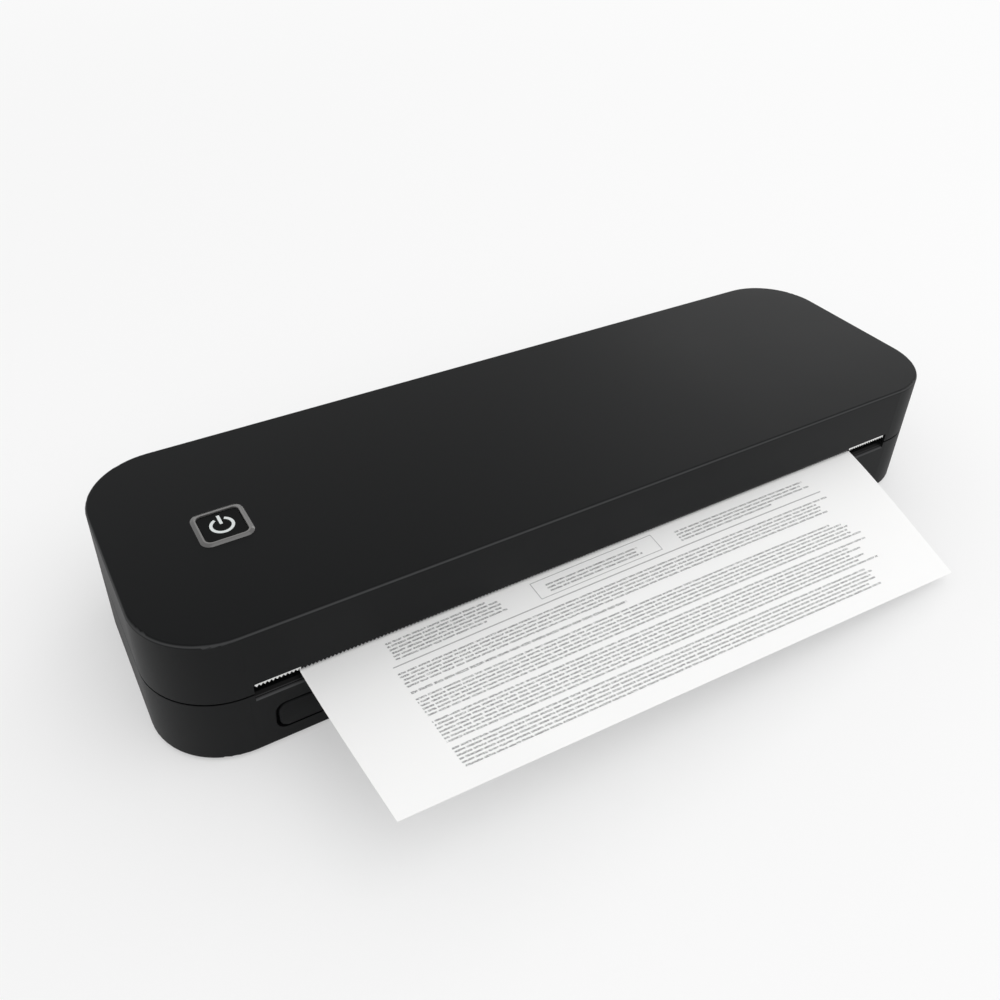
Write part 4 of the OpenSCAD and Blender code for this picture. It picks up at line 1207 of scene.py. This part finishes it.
@dataclass
class PaperSheet(SubAssembly):
    """The sheet from the roll through the slot, its left edge held out and its right corner low."""

    FLAT = "sheet_flat"

    width: float = 210 * MM
    thickness: float = 0.11 * MM
    exit_y: float = -45 * MM
    exit_z: float = 24.4125 * MM
    exit_shift: float = -2.6 * MM
    roll_y: float = 15.655 * MM
    roll_z: float = 35.193 * MM
    left_reach: float = 53.98 * MM
    left_corner: float = 26 * MM
    left_curl: float = 3 * MM
    right_reach: float = 49 * MM
    right_corner: float = 4.5 * MM
    right_start: float = 0.8
    right_end: float = 1.05
    columns: int = 56
    inner_rows: int = 70
    outer_rows: int = 64
    smoothing: int = 10
    sharp: float = 50.0

    def build(self) -> None:
        """Builds the sheet on the surface of its node."""
        grid = self._grid()
        rows, row = len(grid), self.columns + 1
        points: list[Point] = []
        for side in (0.5, -0.5):
            for i in range(rows):
                for k in range(row):
                    lift = self._upward(grid, i, k) * (side * self.thickness)
                    points.append(tuple(grid[i][k] + lift))
        flats = 2 * self._flattened(grid)
        sheet = mesh_object("printed_sheet", points, self._faces(rows, row), self.sharp)
        uv = sheet.data.uv_layers.new(name=self.FLAT)
        for loop in sheet.data.loops:
            uv.data[loop.index].uv = flats[loop.vertex_index]
        self.add(sheet, self._print(), "base", "paper_white", "paper_sheet")
        length = sum(flats[(rows - 1) * row + k][1] for k in range(row)) / row
        log.info("the sheet is %.1f mm long", length / MM)

    def _flattened(self, grid: list[list[Vector]]) -> list[tuple[float, float]]:
        """Places of the grid's points on the flat sheet.

        Args:
            grid: The grid.

        Returns:
            Distances from the left edge and from the front edge, row by row.
        """
        across = [k / self.columns * self.width for k in range(self.columns + 1)]
        runs = [0.0] * len(across)
        flats = list(zip(across, runs))
        for near, far in zip(grid, grid[1:]):
            runs = [run + (b - a).length for run, a, b in zip(runs, near, far)]
            flats += zip(across, runs)
        return flats

    def _grid(self) -> list[list[Vector]]:
        """The sheet's middle surface, row by row from its front edge to the roll.

        Returns:
            Rows of points, each from the left edge to the right one.
        """
        shares = [k / self.columns for k in range(self.columns + 1)]
        fall = self.exit_z - self.right_corner
        start, end = -self.right_start * fall, -self.right_end * fall
        rows = []
        for i in range(self.outer_rows + 1):
            out = 1 - i / self.outer_rows
            left = self._edge(out, self.left_corner, -self.left_curl, self.left_curl)
            right = self._edge(out, self.right_corner, start, end)
            shift = self.exit_shift * (1 - out)
            row = []
            for across in shares:
                reach = self.left_reach + (self.right_reach - self.left_reach) * across
                x = self.width * (across - 0.5) + shift
                row.append(Vector((x, self.exit_y - out * reach, left + (right - left) * across)))
            rows.append(row)
        for i in range(1, self.inner_rows + 1):
            share = i / self.inner_rows
            y = self.exit_y + (self.roll_y - self.exit_y) * share
            z = self.exit_z + (self.roll_z - self.exit_z) * share
            shift = self.exit_shift * (1 - share)
            rows.append([Vector((self.width * (across - 0.5) + shift, y, z)) for across in shares])
        for _ in range(self.smoothing):
            heights = [[p.z for p in r] for r in rows]
            for i in range(1, len(rows) - 1):
                for k, point in enumerate(rows[i]):
                    near, here, far = (heights[i + j][k] for j in (-1, 0, 1))
                    point.z = (near + 2 * here + far) / 4
        return rows

    def _edge(self, share: float, end: float, start_slope: float, end_slope: float) -> float:
        """Height of one edge of the sheet, by its share of the reach.

        Args:
            share: Share of the reach, from the case.
            end: Height of the corner.
            start_slope: Rise over the whole reach at the case.
            end_slope: Rise over the whole reach at the corner.

        Returns:
            The height.
        """
        square, cube = share * share, share * share * share
        start = self.exit_z * (2 * cube - 3 * square + 1)
        start = start + start_slope * (cube - 2 * square + share)
        return start + end * (3 * square - 2 * cube) + end_slope * (cube - square)

    @staticmethod
    def _upward(grid: list[list[Vector]], i: int, k: int) -> Vector:
        """The sheet's upward normal at a point of the grid.

        Args:
            grid: The grid.
            i: The row.
            k: The column.

        Returns:
            The normal.
        """
        back = grid[min(i + 1, len(grid) - 1)][k] - grid[max(i - 1, 0)][k]
        right = grid[i][min(k + 1, len(grid[i]) - 1)] - grid[i][max(k - 1, 0)]
        return right.cross(back).normalized()

    @staticmethod
    def _faces(rows: int, row: int) -> list[Sequence[int]]:
        """Faces of the two skins and the rim.

        Args:
            rows: Number of rows.
            row: Points in a row.

        Returns:
            The faces.
        """
        layer = rows * row
        faces: list[Sequence[int]] = []
        for i in range(rows - 1):
            for k in range(row - 1):
                a = i * row + k
                faces.append((a, a + 1, a + 1 + row, a + row))
                faces.append((layer + a, layer + a + row, layer + a + 1 + row, layer + a + 1))
        rim = list(range(row)) + [i * row + row - 1 for i in range(1, rows)]
        rim += [(rows - 1) * row + k for k in range(row - 2, -1, -1)]
        rim += [i * row for i in range(rows - 2, 0, -1)]
        for a, b in zip(rim, rim[1:] + rim[:1]):
            faces.append((a, a + layer, b + layer, b))
        return faces

    @staticmethod
    def _print() -> PrintedPaper:
        """The made-up page on the sheet.

        Returns:
            The finish.
        """
        row = PrintedPaper.pitch
        blocks = (
            TextBlock(22 * MM, 186 * MM, 5 * row, 11 * row),
            TextBlock(22 * MM, 188 * MM, 12 * row, 19 * row),
            TextBlock(22 * MM, 188 * MM, 20 * row, 26 * row),
            TextBlock(22 * MM, 96 * MM, 27 * row, 28 * row, 6 * MM, 0.64),
            TextBlock(22 * MM, 188 * MM, 29 * row, 34 * row),
            TextBlock(126 * MM, 186 * MM, 37 * row, 41 * row, 24 * MM),
            TextBlock(24 * MM, 62 * MM, 37 * row, 43 * row, 10 * MM),
            TextBlock(76 * MM, 112 * MM, 38 * row, 41 * row, 9 * MM),
        )
        boxes = (
            RuledBox(22 * MM, 186 * MM, 35.3 * row, 35.6 * row, 0.16 * MM),
            RuledBox(72 * MM, 118 * MM, 36.9 * row, 42.3 * row, 0.20 * MM),
        )
        return PrintedPaper(blocks=blocks, boxes=boxes)


@dataclass
class RollAndPlaten(SubAssembly):
    """The paper roll with its spindle, and the rubber roller with its gears."""

    def build(self) -> None:
        """Dresses the roll, the roller and the gear train."""
        self.dress(RollPaper(), "paper_roll")
        self.dress(Cardboard(), "roll_core")
        dark = Moulded("frame_plastic", (0.022, 0.023, 0.026), 0.44)
        self.dress(dark, "left_frame", "right_frame", "paper_bin")
        self.dress(dark, "head_carrier", "roll_spindle", "battery_holder")
        self.dress(Rubber("platen_rubber", (0.018, 0.018, 0.020), 0.7), "platen_sleeve")
        steel = Metal("bright_steel", (0.62, 0.63, 0.65), 0.22, Brush.AROUND)
        self.dress(steel, "platen_shaft", "idler_stud", "motor_shaft", "latch_shaft", "head_rod")
        ivory = Moulded("gear_plastic", (0.78, 0.76, 0.68), 0.34, 1800.0)
        self.dress(ivory, "platen_gear", "idler_gear")
        self.dress(Metal("pinion_brass", (0.72, 0.50, 0.18), 0.25, Brush.AROUND), "motor_pinion")
        bronze = Metal("bush_bronze", (0.56, 0.42, 0.22), 0.42, Brush.NONE, 3000.0, 0.01 * MM)
        self.dress(bronze, "platen_bushes")


@dataclass
class Drive(SubAssembly):
    """Motor, bracket, battery, boards and the latch."""

    def build(self) -> None:
        """Dresses the inner works."""
        self.dress(Metal("motor_can", (0.42, 0.43, 0.45), 0.34, Brush.AROUND), "stepper_motor")
        sheet = Metal("sheet_steel", (0.50, 0.51, 0.53), 0.34, Brush.ALONG)
        self.dress(sheet, "motor_bracket", "latch_hooks", "release_lever")
        self.dress(ShrinkWrap(), "battery_cells")
        self.dress(CircuitBoard(), "main_board")
        chips = Moulded("chip_black", (0.012, 0.012, 0.014), 0.5)
        self.dress(chips, "board_parts", "cover_switch", "paper_sensor", "head_driver_strip")
        plated = Metal("socket_steel", (0.66, 0.67, 0.69), 0.24, Brush.ALONG)
        self.dress(plated, "usb_socket", "board_screws")


@dataclass
class PrintHead(SubAssembly):
    """The heat sink with the ceramic print head."""

    def build(self) -> None:
        """Dresses the head."""
        self.dress(Metal("aluminium", (0.70, 0.71, 0.73), 0.32, Brush.ALONG), "heat_sink")
        ceramic = Moulded("ceramic", (0.74, 0.72, 0.66), 0.18, 1500.0, 0.003 * MM, coat=0.5)
        self.dress(ceramic, "print_head")


@dataclass
class Springs(SubAssembly):
    """Coil springs of the print head and the latch."""

    wire_radius: float = 0.3 * MM
    sides: int = 10
    steps: int = 26
    closed_share: float = 0.1
    head_places: tuple[float, ...] = (-80 * MM, 0.0, 80 * MM)
    head_mean: float = 2.0 * MM
    head_turns: float = 5.0
    latch_mean: float = 2.3 * MM
    latch_turns: float = 6.0
    steel: Metal = Metal("spring_steel", (0.66, 0.67, 0.69), 0.2, Brush.NONE)

    def build(self) -> None:
        """Builds the coils over their nodes."""
        self._head_coils()
        self._latch_coil()

    def _head_coils(self) -> None:
        """Builds the upright coils that press the print head on the roller."""
        low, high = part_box("head_springs")
        tall = high.z - low.z
        for number, x in enumerate(self.head_places, 1):
            foot = Vector((x, (low.y + high.y) / 2, low.z))
            name = f"head_coil_{number}"
            coil = self._coil(name, foot, self.head_mean, tall, self.head_turns, Matrix.Identity(3))
            nodes = ("head_springs",) if number == 1 else ()
            self.add(coil, self.steel, "cover", "bright_steel", *nodes)
            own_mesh(coil)

    def _latch_coil(self) -> None:
        """Builds the level coil that holds the latch closed."""
        low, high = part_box("latch_spring")
        foot = Vector((low.x, (low.y + high.y) / 2, (low.z + high.z) / 2))
        turn = Matrix.Rotation(math.radians(90), 3, "Y")
        long = high.x - low.x
        coil = self._coil("latch_coil", foot, self.latch_mean, long, self.latch_turns, turn)
        self.add(coil, self.steel, "base", "bright_steel", "latch_spring")

    def _coil(
        self, name: str, foot: Vector, mean: float, length: float, turns: float, turn: Matrix
    ) -> bpy.types.Object:
        """A coil with its end turns closed.

        Args:
            name: The piece's name.
            foot: The middle of its low end.
            mean: Radius to the wire's middle.
            length: Whole length, wire included.
            turns: Number of turns.
            turn: How it is turned from standing upright.

        Returns:
            The piece.
        """
        line = []
        count = int(turns * self.steps)
        for i in range(count + 1):
            share = i / count
            rise = (share - self.closed_share) / (1 - 2 * self.closed_share)
            height = (length - 2 * self.wire_radius) * min(1.0, max(0.0, rise)) + self.wire_radius
            angle = 2 * math.pi * turns * share
            round_foot = Vector((mean * math.cos(angle), mean * math.sin(angle), height))
            line.append(foot + turn @ round_foot)
        return swept(name, line, self.wire_radius, self.sides)


# Studio


@dataclass(frozen=True)
class StudioFloor(Finish):
    """Pale table top that looks near white, keeps shadows and fades into the backdrop."""

    name: str = "studio_floor"
    lit: Colour = (0.72, 0.72, 0.72)
    shaded: Colour = (0.56, 0.56, 0.56)
    glow: Colour = (0.385, 0.385, 0.385)
    far: Colour = (0.97, 0.97, 0.97)
    dark: Colour = (0.0, 0.0, 0.0)
    fade_from: float = 0.30
    fade_to: float = 1.30

    def inputs(self, tree: Tree) -> Inputs:
        """Keeps what is seen of the floor apart from how it lights the object.

        Args:
            tree: The material's tree.

        Returns:
            Values and signals of the shader's sockets.
        """
        seen = tree.seen_rays()
        place = tree.place()
        along, across = place.part("X"), place.part("Y")
        fade = ((along * along + across * across) ** 0.5).mapped(self.fade_from, self.fade_to)
        return {
            "Base Color": tree.mix(seen, self.lit, tree.mix(fade, self.shaded, self.dark)),
            "Emission Color": tree.mix(seen, self.dark, tree.mix(fade, self.glow, self.far)),
            "Emission Strength": 1.0,
            "Roughness": tree.noise(30.0).spread(0.85, 0.95),
            "Specular IOR Level": 0.0,
        }


@dataclass(frozen=True)
class Lamp:
    """A square soft light that looks at a point."""

    name: str
    place: Point
    size: float
    power: float
    aim: Point = (0.0, 0.0, 0.0)

    def build(self) -> None:
        """Adds the light to the scene."""
        data = bpy.data.lights.new(self.name, "AREA")
        data.shape = "SQUARE"
        data.size = self.size
        data.energy = self.power
        lamp = bpy.data.objects.new(self.name, data)
        bpy.context.scene.collection.objects.link(lamp)
        lamp.location = self.place
        lamp.rotation_mode = "QUATERNION"
        ahead = Vector(self.aim) - Vector(self.place)
        lamp.rotation_quaternion = ahead.to_track_quat("-Z", "Y")


@dataclass
class Studio:
    """Floor, lights, world and camera. The camera's values were fitted to the photograph."""

    azimuth: float = -31.7485
    elevation: float = 34.7121
    roll: float = 1.9166
    distance: float = 367.731 * MM
    aim: Point = (1.0872 * MM, 34.4507 * MM, 20 * MM)
    focal_pixels: float = 976.501
    middle_x: float = 497.2
    middle_y: float = 428.423
    frame_pixels: float = 1000.0
    sensor: float = 36.0
    clip_start: float = 0.01
    clip_end: float = 20.0
    floor_half: float = 6.0
    world_level: float = 0.78
    backdrop_level: float = 0.97
    lamps: tuple[Lamp, ...] = (
        Lamp("overhead", (0.38, -0.70, 1.45), 1.6, 8.0),
        Lamp("window_right", (1.35, -0.55, 0.60), 0.8, 0.9),
        Lamp("window_back", (1.50, 1.10, 0.75), 0.8, 3.2),
    )

    def build(self) -> None:
        """Builds the studio."""
        self._floor()
        self._world()
        for lamp in self.lamps:
            lamp.build()
        self._camera()
        bpy.context.scene.view_settings.view_transform = "Standard"

    def _floor(self) -> None:
        """Adds the table top."""
        half = self.floor_half
        points = [(-half, -half, 0.0), (half, -half, 0.0), (half, half, 0.0), (-half, half, 0.0)]
        floor = mesh_object("studio_floor", points, [(0, 1, 2, 3)])
        floor.data.materials.append(StudioFloor().material())

    def _world(self) -> None:
        """Sets the even light of the room, and the paler backdrop that the camera sees."""
        world = bpy.data.worlds.new("studio_room")
        bpy.context.scene.world = world
        tree = Tree(world)
        level = tree.seen_rays().mapped(0.0, 1.0, self.world_level, self.backdrop_level)
        inputs = {"Color": (1.0, 1.0, 1.0), "Strength": level}
        room = tree.node("ShaderNodeBackground", {}, inputs)
        tree.node("ShaderNodeOutputWorld", {}, {"Surface": room.out("Background")})

    def _camera(self) -> None:
        """Stands the camera where the photograph was taken from."""
        data = bpy.data.cameras.new("camera")
        data.sensor_fit = "HORIZONTAL"
        data.sensor_width = self.sensor
        data.lens = self.focal_pixels / self.frame_pixels * data.sensor_width
        data.shift_x = (self.frame_pixels / 2 - self.middle_x) / self.frame_pixels
        data.shift_y = (self.middle_y - self.frame_pixels / 2) / self.frame_pixels
        data.clip_start, data.clip_end = self.clip_start, self.clip_end
        camera = bpy.data.objects.new("camera", data)
        bpy.context.scene.collection.objects.link(camera)
        camera.matrix_world = self._stand()
        bpy.context.scene.camera = camera

    def _stand(self) -> Matrix:
        """Place and turn of the camera.

        Returns:
            Its matrix.
        """
        a, e, r = (math.radians(v) for v in (self.azimuth, self.elevation, self.roll))
        back = Vector((math.sin(a) * math.cos(e), -math.cos(a) * math.cos(e), math.sin(e)))
        level = (-back).cross(Vector((0.0, 0.0, 1.0))).normalized()
        upright = level.cross(-back)
        right = level * math.cos(r) + upright * math.sin(r)
        up = upright * math.cos(r) - level * math.sin(r)
        turn = Matrix((right, up, back)).transposed()
        return Matrix.Translation(Vector(self.aim) + back * self.distance) @ turn.to_4x4()


def main() -> None:
    """Builds the printer and the studio."""
    logging.basicConfig(level=logging.INFO, format="%(name)s: %(message)s")
    assemblies: list[SubAssembly] = [
        Case(),
        TearBar(),
        PowerButton(),
        PaperSheet(),
        RollAndPlaten(),
        Drive(),
        PrintHead(),
        Springs(),
    ]
    for assembly in assemblies:
        assembly.build()
        log.info("%s has %d pieces", type(assembly).__name__, len(assembly.made))
    Studio().build()


if __name__ == "__main__":
    main()
